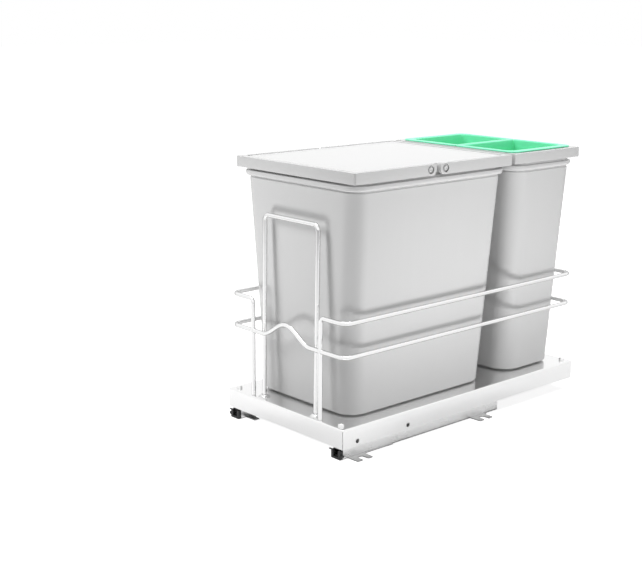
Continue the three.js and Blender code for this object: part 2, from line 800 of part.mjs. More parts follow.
// Half of the front bin's band: a U-shaped bail that swings on two pins.
function bail(end) {
  const pivotY = (end * bailPivotSpacing) / 2;
  const tailY = pivotY - end * bailTail;
  const farY = (end * (frontBandLength + 2 * cutOver)) / 2;
  const side = outline([
    [tailY, bandBottom, bailEndRadius], [farY, bandBottom - cutOver], [farY, bandTop + cutOver],
    [tailY, bandTop, bailEndRadius / 2],
  ], 5);
  const reach = bandHalfWidth + cutOver;
  const seat = bandHalfWidth - pinRecessDepth;
  const recess = pinHeadDiameter / 2 + gap;
  return cut(
    common(bandBody(frontBandLength, bailCorner), alongX(side, -reach, reach)),
    crossways(pivotY, pivotHeight, pinRadius + gap, -reach, reach),
    crossways(pivotY, pivotHeight, recess, -reach, -seat, 20),
    crossways(pivotY, pivotHeight, recess, seat, reach, 20),
  );
}

// The pin's shank starts in the neck's wall and its head sits in the bail's recess.
function bailPin(side) {
  const root = neckHalfX - binWall + gap;
  const seat = bandHalfWidth - pinRecessDepth + gap;
  const face = seat + pinHeadThickness;
  const shank = side > 0 ? [root, face] : [-face, -root];
  const head = side > 0 ? [seat, face] : [-face, -seat];
  const body = crossways(0, 0, pinRadius, ...shank);
  return joined(body, crossways(0, 0, pinHeadDiameter / 2, ...head, 20));
}

function frontLid() {
  const plate = {
    halfX: bandHalfWidth - bandFlangeWidth - lidMargin,
    halfY: frontBandLength / 2 - bandBar - lidMargin,
    radius: bailCorner,
  };
  const skirt = {
    halfX: neckHalfX - binWall,
    halfY: frontBandLength / 2 - neckSize.insetY - binWall,
    radius: neckSize.radius - binWall,
  };
  const low = lidTop - lidPlate;
  const fit = 2 * gap;
  return skin([
    ring(skirt, low, fit + lidSkirtWall), ring(skirt, low - lidSkirtDepth, fit + lidSkirtWall),
    ring(skirt, low - lidSkirtDepth, fit), ring(skirt, low, fit),
    ring(plate, low), ring(plate, lidTop - 0.8), ring(plate, lidTop, 0.8),
  ]);
}

const frontNeckHoles = [-1, 1].map((end) => {
  const reach = neckHalfX + cutOver;
  const y = (end * bailPivotSpacing) / 2;
  return crossways(y, pivotHeight, pinRadius + gap, -reach, reach);
});
const frontBin = cut(bin(frontBandLength), ...frontNeckHoles);
piece('front_bin', frontBin, greyPlastic, 0, frontBinY, trayTop);
piece('front_lid', frontLid(), lidPlastic, 0, frontBinY, trayTop);
for (const [place, end] of [['front', -1], ['rear', 1]]) {
  piece(`${place}_bail`, bail(end), greyPlastic, 0, frontBinY, trayTop);
  for (const [name, side] of Object.entries(sides)) {
    const y = frontBinY + (end * bailPivotSpacing) / 2;
    piece(`bail_pin_${place}_${name}`, bailPin(side), greyPlastic, 0, y, trayTop + pivotHeight);
  }
}

// The ring's flange rests on the rear bin's wider neck.
const rearNeckHalfX = bandHalfWidth - bandSide - 2 * gap;
piece('rear_bin', bin(rearBandLength, rearNeckHalfX), greyPlastic, 0, rearBinY, trayTop);
piece('rear_ring', bandBody(rearBandLength, neckSize.radius), greyPlastic, 0, rearBinY, trayTop);

function insert() {
  const halfX = (bandHalfWidth - bandFlangeWidth - insertMargin - insertSplit / 2) / 2;
  const rimHalfY = rearBandLength / 2 - bandBar + insertRimSeat;
  const mouthHalfY = rearBandLength / 2 - neckSize.insetY - binWall - 2 * gap;
  const rim = { halfX, halfY: rimHalfY, radius: insertCorner };
  const mouth = { halfX: halfX - insertRimWidth, halfY: mouthHalfY, radius: insertCorner };
  const under = insertRimTop - insertRimThickness;
  const base = insertRimTop - insertDepth;
  const footInset = insertTaper + insertFootInset;
  return skin([
    ring(mouth, base, footInset), ring(mouth, base + insertFoot, insertTaper), ring(mouth, under),
    ring(rim, under), ring(rim, insertRimTop - 0.5), ring(rim, insertRimTop, 0.5),
    ring(mouth, insertRimTop, insertWall - 0.6), ring(mouth, insertRimTop - 2, insertWall),
    ring(mouth, base + insertFoot, insertTaper + insertWall),
    ring(mouth, base + insertWall, footInset + insertWall),
  ]);
}

for (const [name, side] of Object.entries(sides)) {
  const inner = bandHalfWidth - bandFlangeWidth - insertMargin;
  const x = (side * (inner + insertSplit / 2)) / 2;
  piece(`green_insert_${name}`, insert(), greenPlastic, x, rearBinY, trayTop);
}

// The origin is below the middle of the overall box, which the right rail's floor tabs widen.
const boxRight = railX + channelWidth / 2 + footReach;
unit.position.x = -(boxRight - trayWidth / 2) / 2;

export default unit;
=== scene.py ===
"""Looks of a pull-out waste unit: tray on rails, wire basket, handle, two bins, bails, lid and inserts.

Shapes are worked out in millimetres, measured from the tray's middle and from the cabinet floor, with
+Z up and -Y at the front. They go into the meshes in metres, in the frame of the CAD model.
"""

import json
import math

import bmesh
import bpy
import numpy as np
from mathutils import Matrix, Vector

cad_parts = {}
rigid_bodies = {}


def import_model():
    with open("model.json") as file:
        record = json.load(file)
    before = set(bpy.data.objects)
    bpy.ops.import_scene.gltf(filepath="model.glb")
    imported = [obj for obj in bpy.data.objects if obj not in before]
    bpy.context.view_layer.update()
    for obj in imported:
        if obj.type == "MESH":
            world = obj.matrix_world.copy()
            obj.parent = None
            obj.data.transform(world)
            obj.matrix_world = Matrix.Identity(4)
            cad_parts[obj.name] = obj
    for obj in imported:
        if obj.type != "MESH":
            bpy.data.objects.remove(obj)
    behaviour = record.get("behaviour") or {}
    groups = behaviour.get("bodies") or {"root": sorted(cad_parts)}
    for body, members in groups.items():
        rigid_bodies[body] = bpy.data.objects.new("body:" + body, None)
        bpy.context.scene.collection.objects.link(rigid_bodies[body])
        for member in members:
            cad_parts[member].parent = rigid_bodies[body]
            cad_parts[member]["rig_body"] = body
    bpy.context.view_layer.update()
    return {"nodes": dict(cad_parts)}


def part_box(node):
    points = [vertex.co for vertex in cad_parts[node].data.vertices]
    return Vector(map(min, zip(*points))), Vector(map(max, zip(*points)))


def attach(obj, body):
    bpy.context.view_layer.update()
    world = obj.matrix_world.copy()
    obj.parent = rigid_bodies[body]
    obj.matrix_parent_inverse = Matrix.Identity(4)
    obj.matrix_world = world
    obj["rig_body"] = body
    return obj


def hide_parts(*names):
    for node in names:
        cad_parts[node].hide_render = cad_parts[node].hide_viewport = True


bl_info = {
    "name": "Pull-out waste unit",
    "version": (1, 0, 0),
    "blender": (4, 5, 0),
    "location": "3D View > Sidebar > Waste unit",
    "description": "Builds the tray, rails, basket, handle, bins and inserts of a pull-out waste unit",
    "category": "Add Mesh",
}

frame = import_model()

MM = 0.001
SIDES = {"left": -1, "right": 1}
ENDS = {"front": -1, "rear": 1}


def box_mm(node):
    """Lowest and highest corner of a CAD node, in millimetres."""
    low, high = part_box(node)
    return np.array(low) / MM, np.array(high) / MM


TRAY_LOW, TRAY_HIGH = box_mm("tray")
MIDDLE_X = (TRAY_LOW[0] + TRAY_HIGH[0]) / 2
TRAY_HALF_X = (TRAY_HIGH[0] - TRAY_LOW[0]) / 2
TRAY_HALF_Y = TRAY_HIGH[1]
TRAY_TOP = TRAY_HIGH[2]
WALL_END = box_mm("tray_wall_front")[0][2]
SHEET = 1.5  # thickness of the steel of the tray and the channels
RAIL_TOP = TRAY_TOP - SHEET


def levels_mm(node):
    """Lowest and highest level of a CAD node, in millimetres."""
    low, high = box_mm(node)
    return low[2], high[2]


def middle_mm(node):
    """Middle of a CAD node's box in millimetres, measured from the tray's middle."""
    low, high = box_mm(node)
    return (low + high) / 2 - [MIDDLE_X, 0, 0]



# ---------------------------------------------------------------- numpy shapes


SHARP_EDGE = math.radians(38)  # edges that turn by more than this stay sharp
TIGHTEST = 0.3  # the smallest corner radius of a ring


def quarter_turn(count):
    """Angles from nothing to a right angle."""
    return np.linspace(0, math.pi / 2, count)


def full_turn(count):
    """Angles round a circle, without the one that would close it."""
    return np.linspace(0, 2 * math.pi, count, endpoint=False)


def rounded_loop(half_x, half_y, radius, arc_steps=12, side_steps=5):
    """Points round a rectangle. Each corner is a quarter circle about its own centre, and each side is the
    straight line from one arc's end to the next arc's start."""
    turn = quarter_turn(arc_steps + 1)
    quarter = np.arange(4)[:, None] * math.pi / 2
    signs = np.array([[1, 1], [-1, 1], [-1, -1], [1, -1]])
    centres = signs * [half_x - radius, half_y - radius]
    arcs = centres[:, None] + radius * np.stack([np.cos(quarter + turn), np.sin(quarter + turn)], -1)
    share = np.linspace(0, 1, side_steps + 1)[1:-1, None]
    ends, starts = arcs[:, -1:], np.roll(arcs, -1, 0)[:, :1]
    return np.concatenate([arcs, ends + share * (starts - ends)], 1).reshape(-1, 2)


def ring_grid(levels, middle_y, arc_steps=12, side_steps=5):
    """A grid of rounded rectangles: each level is (half x, half y, radius, height)."""
    rings = []
    for x, y, radius, z in levels:
        loop = rounded_loop(x, y, max(radius, TIGHTEST), arc_steps, side_steps)
        rings.append(np.column_stack([loop, np.full(len(loop), z)]))
    return np.array(rings) + [0, middle_y, 0]


def soften(points, bevel, steps=3):
    """Rounds the corners of closed polylines held as (..., corner, axis). Each corner becomes a quadratic
    curve between two points on its sides, which lie the bevel, or 0.45 of the side, away from it."""
    bevel = np.asarray(bevel, float)
    bevel = bevel[..., None] if bevel.ndim else bevel

    def along(side):
        reach = np.linalg.norm(side, axis=-1, keepdims=True)
        return (np.minimum(bevel, 0.45 * reach) / np.maximum(reach, 1e-9) * side)[..., None, :]

    start, end = along(np.roll(points, 1, -2) - points), along(np.roll(points, -1, -2) - points)
    t = np.linspace(0, 1, steps + 1)[:, None]
    curve = points[..., None, :] + (1 - t) ** 2 * start + t**2 * end
    return curve.reshape(*points.shape[:-2], -1, points.shape[-1])


def grid_shell(grid, closed=False):
    """Vertices and faces of a grid (row, column, axis). Quads join neighbours, round the columns and, where
    the path is closed, round the rows; else the first and last row are capped."""
    rows, columns = grid.shape[:2]
    index = np.arange(rows * columns).reshape(rows, columns)
    low = index if closed else index[:-1]
    high = np.roll(index, -1, 0) if closed else index[1:]
    quads = np.stack([low, np.roll(low, -1, 1), np.roll(high, -1, 1), high], -1)
    caps = [] if closed else [index[0][::-1].tolist(), index[-1].tolist()]
    return grid.reshape(-1, 3), quads.reshape(-1, 4).tolist() + caps


def prism_shell(outline, low, high, bevel, plane="XY"):
    """A prism on an outline, with its edges eased: the end loops are drawn in along the outline's inward
    normals by the bevel. The plane says which axes the outline lies in."""
    outline = np.asarray(outline, float)
    edge = np.roll(outline, -1, 0) - outline
    normal = np.column_stack([edge[:, 1], -edge[:, 0]]) / np.linalg.norm(edge, axis=1)[:, None]
    area = (outline[:, 0] * np.roll(outline[:, 1], -1) - outline[:, 1] * np.roll(outline[:, 0], -1)).sum()
    outward = (normal + np.roll(normal, 1, 0)) * np.sign(area)
    outward /= np.maximum((outward**2).sum(1), 0.5)[:, None] / 2
    inner = outline - bevel * outward
    loops = [inner, outline, outline, inner]
    heights = [low, low + bevel, high - bevel, high]
    grid = np.array([np.column_stack([loop, np.full(len(loop), z)]) for loop, z in zip(loops, heights)])
    order = {"XY": [0, 1, 2], "XZ": [0, 2, 1]}[plane]
    return grid_shell(grid[..., order])


def lathe_shell(profile, centre, axis="Z", sides=32, closed=False):
    """A profile of (radius, height) turned about an axis through the centre. A closed one makes a ring."""
    profile = np.asarray(profile, float)
    turn = full_turn(sides)
    radius, height = profile[:, :1], profile[:, 1:]
    grid = np.stack([radius * np.cos(turn), radius * np.sin(turn), height + 0 * turn], -1)
    order = {"Z": [0, 1, 2], "X": [2, 0, 1]}[axis]
    return grid_shell(grid[..., order] + centre, closed)


def bent_path(corners, steps=14):
    """Points along a wire of (x, y, z, bend radius) corners. Each bend is the circle arc that touches both
    straights, so a bend of turn a starts radius * tan(a / 2) before its corner."""
    corners = np.asarray(corners, float)
    path = [corners[:1, :3]]
    for before, corner, after in zip(corners[:-2], corners[1:-1], corners[2:]):
        into, away = corner[:3] - before[:3], after[:3] - corner[:3]
        into, away = into / np.linalg.norm(into), away / np.linalg.norm(away)
        turn = math.acos(np.clip(into @ away, -1, 1))
        inward = away - (away @ into) * into
        inward /= np.linalg.norm(inward)
        start = corner[:3] - into * corner[3] * math.tan(turn / 2)
        angle = np.linspace(0, turn, steps + 1)[:, None]
        path.append(start + corner[3] * (np.sin(angle) * into + (1 - np.cos(angle)) * inward))
    path.append(corners[-1:, :3])
    return np.concatenate(path)


def tube_shell(path, radius, sides=20, ease=0.8):
    """A round wire along a path. Its section is carried without twist: each station's side vector is the
    last one with its part along the new direction taken out. Both ends are eased."""
    step = np.diff(path, axis=0)
    step /= np.linalg.norm(step, axis=1)[:, None]
    heading = np.concatenate([step[:1], step[:-1] + step[1:], step[-1:]])
    heading /= np.linalg.norm(heading, axis=1)[:, None]
    side = np.zeros_like(path)
    side[0] = np.cross(heading[0], [0.31, 0.87, 0.38])
    for i in range(1, len(path)):
        side[i] = side[i - 1] - (side[i - 1] @ heading[i]) * heading[i]
        side[i] /= np.linalg.norm(side[i])
    side[0] /= np.linalg.norm(side[0])
    other = np.cross(heading, side)
    turn = full_turn(sides)[None, :, None]
    circle = np.cos(turn) * side[:, None] + np.sin(turn) * other[:, None]
    body = path[:, None] + radius * circle
    first, last = (radius - ease) * circle[0] + path[0], (radius - ease) * circle[-1] + path[-1]
    body[0] += ease * heading[0]
    body[-1] -= ease * heading[-1]
    return grid_shell(np.concatenate([first[None], body, last[None]]))


def stud_shell(x, y, radius, low, high, pitch=0.8, depth=0.22):
    """A threaded stud: its radius falls by the thread's depth once in each pitch."""
    height = np.linspace(low, high, int((high - low) / pitch) * 4 + 1)
    ridge = radius - depth * (0.5 - 0.5 * np.cos(2 * math.pi * (height - low) / pitch))
    return lathe_shell(np.column_stack([ridge, height]), [x, y, 0], sides=20)


def nut_shell(x, y, flats, bore, low, high, chamfer=0.5, sides=48):
    """A hexagon nut: the radius round it is half the flats over the cosine of the angle from the nearest
    flat's middle, and a cone takes its corners off at both ends."""
    turn = full_turn(sides)
    hexagon = flats / 2 / np.cos((turn % (math.pi / 3)) - math.pi / 6)
    eased = np.minimum(hexagon, flats / 2)
    drop = chamfer * (hexagon - eased) + 0.15
    profile = [
        (bore, low + 0.4), (bore + 0.4, low), (eased - 0.2, low), (hexagon, low + drop),
        (hexagon, high - drop), (eased - 0.2, high), (bore + 0.4, high), (bore, high - 0.4),
    ]
    rings = [np.stack([r * np.cos(turn), r * np.sin(turn), z + 0 * turn], -1) for r, z in profile]
    return grid_shell(np.array(rings) + [x, y, 0], closed=True)


def section_shell(section, start, end, bevels):
    """A rail: a closed (x, z) section with rounded bends, run along Y from start to end."""
    section = soften(np.asarray(section, float), bevels, 4)
    stations = np.array([start, *np.linspace(start + 0.3, end - 0.3, 7), end])
    x, z = section.T
    return grid_shell(np.stack([np.column_stack([x, np.full(len(x), y), z]) for y in stations]))


# ---------------------------------------------------------------- meshes and pieces


def mesh_of(name, shells):
    """One mesh of closed shells, in metres, with its faces pointing outwards."""
    points, faces, start = [], [], 0
    for shell_points, shell_faces in shells:
        points.append(np.asarray(shell_points))
        faces += [[start + i for i in face] for face in shell_faces]
        start += len(shell_points)
    mesh = bpy.data.meshes.new(name)
    mesh.from_pydata((np.concatenate(points) + [MIDDLE_X, 0, 0]) * MM, [], faces)
    work = bmesh.new()
    work.from_mesh(mesh)
    bmesh.ops.recalc_face_normals(work, faces=work.faces)
    work.to_mesh(mesh)
    work.free()
    return mesh


def cut_out(target, shells):
    """Cuts closed shells out of an object and keeps the result as its mesh."""
    tool = bpy.data.objects.new("cutter", mesh_of("cutter", shells))
    bpy.context.scene.collection.objects.link(tool)
    cut = target.modifiers.new("cut", "BOOLEAN")
    cut.operation, cut.solver, cut.object, cut.use_self = "DIFFERENCE", "EXACT", tool, True
    result = bpy.data.meshes.new_from_object(target.evaluated_get(bpy.context.evaluated_depsgraph_get()))
    target.modifiers.remove(cut)
    target.data = result
    bpy.data.objects.remove(tool)


def add_piece(node, shells, slot, cutters=None):
    """Makes the finished piece that stands for a CAD node and rides on the node's body. Its slot is named
    after its finish."""
    piece = bpy.data.objects.new(f"{node}_finished", mesh_of(f"{node}_finished", shells))
    bpy.context.scene.collection.objects.link(piece)
    if cutters:
        cut_out(piece, cutters)
    mesh = piece.data
    mesh.polygons.foreach_set("use_smooth", np.ones(len(mesh.polygons), bool))
    mesh.set_sharp_from_angle(angle=SHARP_EDGE)
    mesh.materials.clear()
    mesh.materials.append(finish(slot))
    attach(piece, frame["nodes"][node]["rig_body"])
    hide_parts(node)
    return piece


def dress(node, name):
    """Gives a CAD node that stays in sight its finish."""
    slots = frame["nodes"][node].material_slots
    for slot in slots:
        slot.material = finish(name)
    if not slots:
        raise RuntimeError(f"{node} has no material slot")


# ---------------------------------------------------------------- shader groups and materials


# Spans of height above the floor over which painted shade ends, of facing over which plating's colour is
# darkened at its edge as a painted dark reflection, and of noise over which a scuff begins.
PAINTED_SHADE_SPAN = (0.0014, 0.0018)
DARK_REFLECTION_SPAN = (0.42, 0.9)
SCUFF_SPAN = (0.62, 0.78)


def new_group(name, inputs):
    """An empty shader group that puts out a colour, a roughness and a height, with inputs given as
    {name: (kind, default)}."""
    tree = bpy.data.node_groups.new(name, "ShaderNodeTree")
    for label, (kind, default) in inputs.items():
        socket = tree.interface.new_socket(name=label, in_out="INPUT", socket_type=f"NodeSocket{kind}")
        socket.default_value = default
    for label, kind in (("Color", "Color"), ("Roughness", "Float"), ("Height", "Float")):
        tree.interface.new_socket(name=label, in_out="OUTPUT", socket_type=f"NodeSocket{kind}")
    return tree, tree.nodes.new("NodeGroupInput").outputs, tree.nodes.new("NodeGroupOutput").inputs


def put_out(tree, result, color, roughness, height):
    """Links a group's results to its outputs and gives the finished group back."""
    for label, value in (("Color", color), ("Roughness", roughness), ("Height", height)):
        tree.links.new(value, result[label])
    return tree


def noise(tree, scale, detail=2.0, stretch=None, roughness=0.5):
    """Noise on Object coordinates, stretched by a Mapping node where a stretch is given."""
    place = tree.nodes.new("ShaderNodeTexCoord").outputs["Object"]
    if stretch is not None:
        mapping = tree.nodes.new("ShaderNodeMapping")
        mapping.inputs["Scale"].default_value = stretch
        tree.links.new(place, mapping.inputs["Vector"])
        place = mapping.outputs["Vector"]
    texture = tree.nodes.new("ShaderNodeTexNoise")
    texture.inputs["Detail"].default_value = detail
    texture.inputs["Roughness"].default_value = roughness
    tree.links.new(place, texture.inputs["Vector"])
    feed(tree, scale, texture.inputs["Scale"])
    return texture.outputs["Fac"]


def feed(tree, value, socket):
    """Links a socket to another, or writes a plain number into it."""
    if isinstance(value, bpy.types.NodeSocket):
        tree.links.new(value, socket)
    else:
        socket.default_value = value


def math_node(tree, operation, first, second=0.0, third=0.0):
    """The result of a Math node whose inputs are sockets or plain numbers."""
    made = tree.nodes.new("ShaderNodeMath")
    made.operation = operation
    for value, socket in zip((first, second, third), made.inputs):
        feed(tree, value, socket)
    return made.outputs[0]


def ramp(tree, value, low, high, first, last):
    """A value carried from the span low to high to the span first to last, and held beyond it."""
    made = tree.nodes.new("ShaderNodeMapRange")
    for label, number in zip(("From Min", "From Max", "To Min", "To Max"), (low, high, first, last)):
        made.inputs[label].default_value = number
    tree.links.new(value, made.inputs["Value"])
    return made.outputs["Result"]


def spread(tree, fac, amount, base):
    """Base plus the amount times how far a noise is from its middle, doubled."""
    centred = math_node(tree, "MULTIPLY_ADD", fac, 2.0, -1.0)
    return math_node(tree, "MULTIPLY_ADD", centred, amount, base)


def shade(tree, color, value):
    """The colour with its brightness multiplied by a value."""
    made = tree.nodes.new("ShaderNodeHueSaturation")
    feed(tree, value, made.inputs["Value"])
    feed(tree, color, made.inputs["Color"])
    return made.outputs["Color"]


def moulded_group():
    """Moulded plastic: broad mottling, faint upright flow lines, fine spark grain and a few dull scuffs."""
    tree, given, result = new_group(
        "Moulded plastic",
        {
            "Color": ("Color", (0.6, 0.6, 0.6, 1)), "Mottle": ("Float", 0.02), "Roughness": ("Float", 0.3),
            "Spread": ("Float", 0.05), "Grain": ("Float", 1800.0), "Scuff": ("Float", 0.06),
        },
    )
    broad = noise(tree, 11.0, 3.0)
    flow = noise(tree, 1.0, 4.0, (90, 90, 5))
    scuff_noise = noise(tree, 1.0, 6.0, (60, 240, 35), 0.72)
    scuff = math_node(tree, "MULTIPLY", ramp(tree, scuff_noise, *SCUFF_SPAN, 0.0, 1.0), given["Scuff"])
    value = spread(tree, broad, given["Mottle"], 1.0)
    value = spread(tree, flow, math_node(tree, "MULTIPLY", given["Mottle"], 0.6), value)
    rough = spread(tree, broad, given["Spread"], given["Roughness"])
    rough = spread(tree, flow, math_node(tree, "MULTIPLY", given["Spread"], 0.5), rough)
    rough = math_node(tree, "ADD", rough, scuff)
    height = math_node(tree, "MULTIPLY_ADD", flow, 0.6, noise(tree, given["Grain"], 2.0))
    return put_out(tree, result, shade(tree, given["Color"], value), rough, height)


def rolled_group():
    """Coated or plated sheet: fine rolling lines along Y, soft clouds, sparse handling marks, and painted shade
    that darkens what lies flat on the floor."""
    tree, given, result = new_group(
        "Rolled sheet",
        {
            "Color": ("Color", (0.7, 0.7, 0.7, 1)), "Tone": ("Float", 0.04), "Roughness": ("Float", 0.3),
            "Spread": ("Float", 0.06), "Lines": ("Float", 900.0), "Painted shade": ("Float", 0.0),
        },
    )
    cloud = noise(tree, 14.0, 4.0)
    lines = noise(tree, given["Lines"], 3.0, (1, 0.012, 1))
    marks = noise(tree, 1.0, 5.0, (420, 60, 420), 0.65)
    value = spread(tree, cloud, given["Tone"], 1.0)
    value = spread(tree, lines, math_node(tree, "MULTIPLY", given["Tone"], 0.7), value)
    rough = spread(tree, cloud, given["Spread"], given["Roughness"])
    rough = spread(tree, marks, math_node(tree, "MULTIPLY", given["Spread"], 0.8), rough)
    height = math_node(tree, "MULTIPLY_ADD", marks, 0.4, lines)
    # Painted shade: the colour is darkened, by the given amount, on whatever lies within about two millimetres
    # of the floor.
    axes = tree.nodes.new("ShaderNodeSeparateXYZ")
    tree.links.new(tree.nodes.new("ShaderNodeTexCoord").outputs["Object"], axes.inputs[0])
    low = ramp(tree, axes.outputs["Z"], *PAINTED_SHADE_SPAN, 1.0, 0.0)
    painted_shade = math_node(tree, "MULTIPLY", math_node(tree, "MULTIPLY", low, given["Painted shade"]), -1.0)
    value = math_node(tree, "MULTIPLY", value, math_node(tree, "ADD", painted_shade, 1.0))
    return put_out(tree, result, shade(tree, given["Color"], value), rough, height)


def plated_group():
    """Plated wire and fasteners: faint drawing ripple under the plating, and smudges that dull it."""
    tree, given, result = new_group(
        "Plated metal",
        {
            "Color": ("Color", (0.8, 0.8, 0.8, 1)), "Tone": ("Float", 0.03), "Roughness": ("Float", 0.08),
            "Spread": ("Float", 0.04), "Ripple": ("Float", 260.0),
        },
    )
    smudge = noise(tree, 45.0, 5.0, None, 0.62)
    ripple = noise(tree, given["Ripple"], 2.0)
    value = spread(tree, smudge, given["Tone"], 1.0)
    rough = spread(tree, smudge, given["Spread"], given["Roughness"])
    return put_out(tree, result, shade(tree, given["Color"], value), rough, ripple)


def make_material(name, group, values, metallic, bump, edge=None):
    """A Principled material whose colour, roughness and bump come from a group with this material's values.
    Where an edge value is given, the colour is multiplied down to it where the surface turns away, a painted
    dark reflection."""
    material = bpy.data.materials.new(name)
    material.use_nodes = True
    tree = material.node_tree
    shader = tree.nodes["Principled BSDF"]
    effect = tree.nodes.new("ShaderNodeGroup")
    effect.node_tree = group
    for label, value in values.items():
        effect.inputs[label].default_value = value
    height = tree.nodes.new("ShaderNodeBump")
    height.inputs["Strength"].default_value, height.inputs["Distance"].default_value = bump
    paint = effect.outputs["Color"]
    # Painted dark reflection: the colour falls towards the edge value where the surface turns away from view.
    if edge is not None:
        turned = tree.nodes.new("ShaderNodeLayerWeight").outputs["Facing"]
        paint = shade(tree, paint, ramp(tree, turned, *DARK_REFLECTION_SPAN, 1.0, edge))
    tree.links.new(paint, shader.inputs["Base Color"])
    tree.links.new(effect.outputs["Roughness"], shader.inputs["Roughness"])
    tree.links.new(effect.outputs["Height"], height.inputs["Height"])
    tree.links.new(height.outputs["Normal"], shader.inputs["Normal"])
    shader.inputs["Metallic"].default_value = metallic
    return material


EFFECTS = {"Moulded plastic": moulded_group, "Rolled sheet": rolled_group, "Plated metal": plated_group}
MOULDING = ("Moulded plastic", 0.0, (0.12, 0.00008))
# Finish: colour in the panel, values of the effect, then effect, metallic, (bump strength, bump distance)
# and, for chrome, the value that its colour falls to at the edge, as a painted dark reflection.
FINISHES = {
    "bin_plastic": ("bin", {"Mottle": 0.012, "Roughness": 0.24, "Spread": 0.04}, *MOULDING),
    "lid_plastic": ("lid", {"Mottle": 0.01, "Roughness": 0.34, "Spread": 0.05}, *MOULDING),
    "green_plastic": ("insert", {"Mottle": 0.03, "Roughness": 0.3, "Spread": 0.05}, *MOULDING),
    "clip_plastic": (
        "clip", {"Mottle": 0.15, "Roughness": 0.45, "Spread": 0.08, "Grain": 2600.0},
        "Moulded plastic", 0.0, (0.3, 0.0001),
    ),
    "tray_steel": (
        "tray", {"Tone": 0.025, "Roughness": 0.2, "Spread": 0.04, "Lines": 700.0},
        "Rolled sheet", 1.0, (0.1, 0.00005),
    ),
    # The rails carry painted shade where they lie flat on the floor.
    "rail_steel": (
        "rail", {"Tone": 0.05, "Roughness": 0.28, "Spread": 0.06, "Lines": 1100.0, "Painted shade": 0.6},
        "Rolled sheet", 1.0, (0.15, 0.00005),
    ),
    "chrome_wire": (
        "wire", {"Tone": 0.02, "Roughness": 0.07, "Spread": 0.03}, "Plated metal", 1.0, (0.05, 0.00004), 0.3,
    ),
    "bolt_steel": (
        "bolt", {"Tone": 0.05, "Roughness": 0.2, "Spread": 0.06, "Ripple": 700.0},
        "Plated metal", 1.0, (0.08, 0.00004),
    ),
}


def finish(name):
    """The named finish, made on first use from the colours in the panel, as is the effect it shares."""
    title = f"{name}_finish"
    if title not in bpy.data.materials:
        setting, values, effect, *rest = FINISHES[name]
        group = bpy.data.node_groups.get(effect) or EFFECTS[effect]()
        paint = getattr(bpy.context.scene.waste_unit_colours, setting)
        make_material(title, group, {"Color": (*paint, 1.0), **values}, *rest)
    return bpy.data.materials[title]


# ---------------------------------------------------------------- settings


def colour(name, words, value):
    """A colour for the panel."""
    return bpy.props.FloatVectorProperty(
        name=name, description=words, default=value, size=3, min=0, max=1, subtype="COLOR"
    )


def length(name, words, value):
    """A length for the panel, given in millimetres."""
    return bpy.props.FloatProperty(
        name=name, description=words, default=value * MM, min=0, precision=4, unit="LENGTH", subtype="DISTANCE"
    )


class WasteUnitColours(bpy.types.PropertyGroup):
    """Colours of the finishes."""

    tray: colour("Tray", "Satin coat of the tray", (0.94, 0.94, 0.94))
    rail: colour("Rails", "Zinc plating of the rails", (0.9, 0.9, 0.9))
    wire: colour("Wire", "Chrome of the basket and handle", (0.96, 0.96, 0.96))
    bolt: colour("Fasteners", "Plating of bolts, nuts and cages", (0.9, 0.9, 0.9))
    clip: colour("Clips", "Plastic of the rail clips", (0.03, 0.03, 0.031))
    bin: colour("Bins", "Plastic of the bins, bails and ring", (0.62, 0.62, 0.62))
    lid: colour("Lid", "Plastic of the front bin's lid", (0.7, 0.7, 0.7))
    insert: colour("Inserts", "Plastic of the two lift-out inserts", (0.24, 0.97, 0.6))


class WasteUnitSizes(bpy.types.PropertyGroup):
    """Sizes that a maker of the unit would choose."""

    wire: length("Basket wire", "Diameter of the basket's wire", 6.8)
    handle: length("Handle wire", "Diameter of the handle's wire", 6.8)
    wall: length("Bin wall", "Wall thickness of both bins", 2.2)
    insert_wall: length("Insert wall", "Wall thickness of the inserts", 1.8)
    fold: length("Tray fold", "Outside radius of the tray's folded edge", 2.5)


def size(name):
    """A size from the panel, in millimetres."""
    return getattr(bpy.context.scene.waste_unit_sizes, name) / MM


# ---------------------------------------------------------------- tray

BOLT_Y = TRAY_HALF_Y - 10
RAIL_X = TRAY_HALF_X - 14.5
WALL_HOLES = [-TRAY_HALF_Y + 28.6, -TRAY_HALF_Y + 130.2]
HOLE_RADIUS = 3.4
HOLE_DROP = 22  # from the tray's top to a hole's centre
SLIT_HALF = (5, 0.35)  # half length and half width of a corner's slit


def tray_shell(fold):
    """The folded tray: walls go up, turn over the fold's quarter circle and end in the flat top, and the
    same path runs back one sheet further in."""
    turn = quarter_turn(7)

    def skin(inset, radius):
        pull = inset + radius * (1 - np.cos(turn))
        height = TRAY_TOP - inset - radius * (1 - np.sin(turn))
        levels = [(inset, WALL_END), (inset, WALL_END + 10), *zip(pull, height)]
        return [(TRAY_HALF_X - i, TRAY_HALF_Y - i, 1.5, z) for i, z in levels]

    outer, inner = skin(0, fold), skin(SHEET, fold - SHEET)
    return grid_shell(ring_grid([*inner[::-1], *outer], 0, 4, 12))


def tray_cutters():
    """The cross holes in the side walls and the open slit where two folded walls meet."""
    tools = []
    profile = [(HOLE_RADIUS, -TRAY_HALF_X - 2), (HOLE_RADIUS, TRAY_HALF_X + 2)]
    for y in WALL_HOLES:
        tools.append(lathe_shell(profile, [0, y, TRAY_TOP - HOLE_DROP], "X", 28))
    for x in SIDES.values():
        for y in ENDS.values():
            along = np.array([x, y]) * SLIT_HALF[0] / math.sqrt(2)
            across = np.array([-y, x]) * SLIT_HALF[1] / math.sqrt(2)
            centre = np.array([x * TRAY_HALF_X, y * TRAY_HALF_Y])
            corners = [centre + s * along + t * across for s, t in ((-1, -1), (1, -1), (1, 1), (-1, 1))]
            tools.append(prism_shell(corners, WALL_END - 1, TRAY_TOP - size("fold"), 0.01))
    return tools


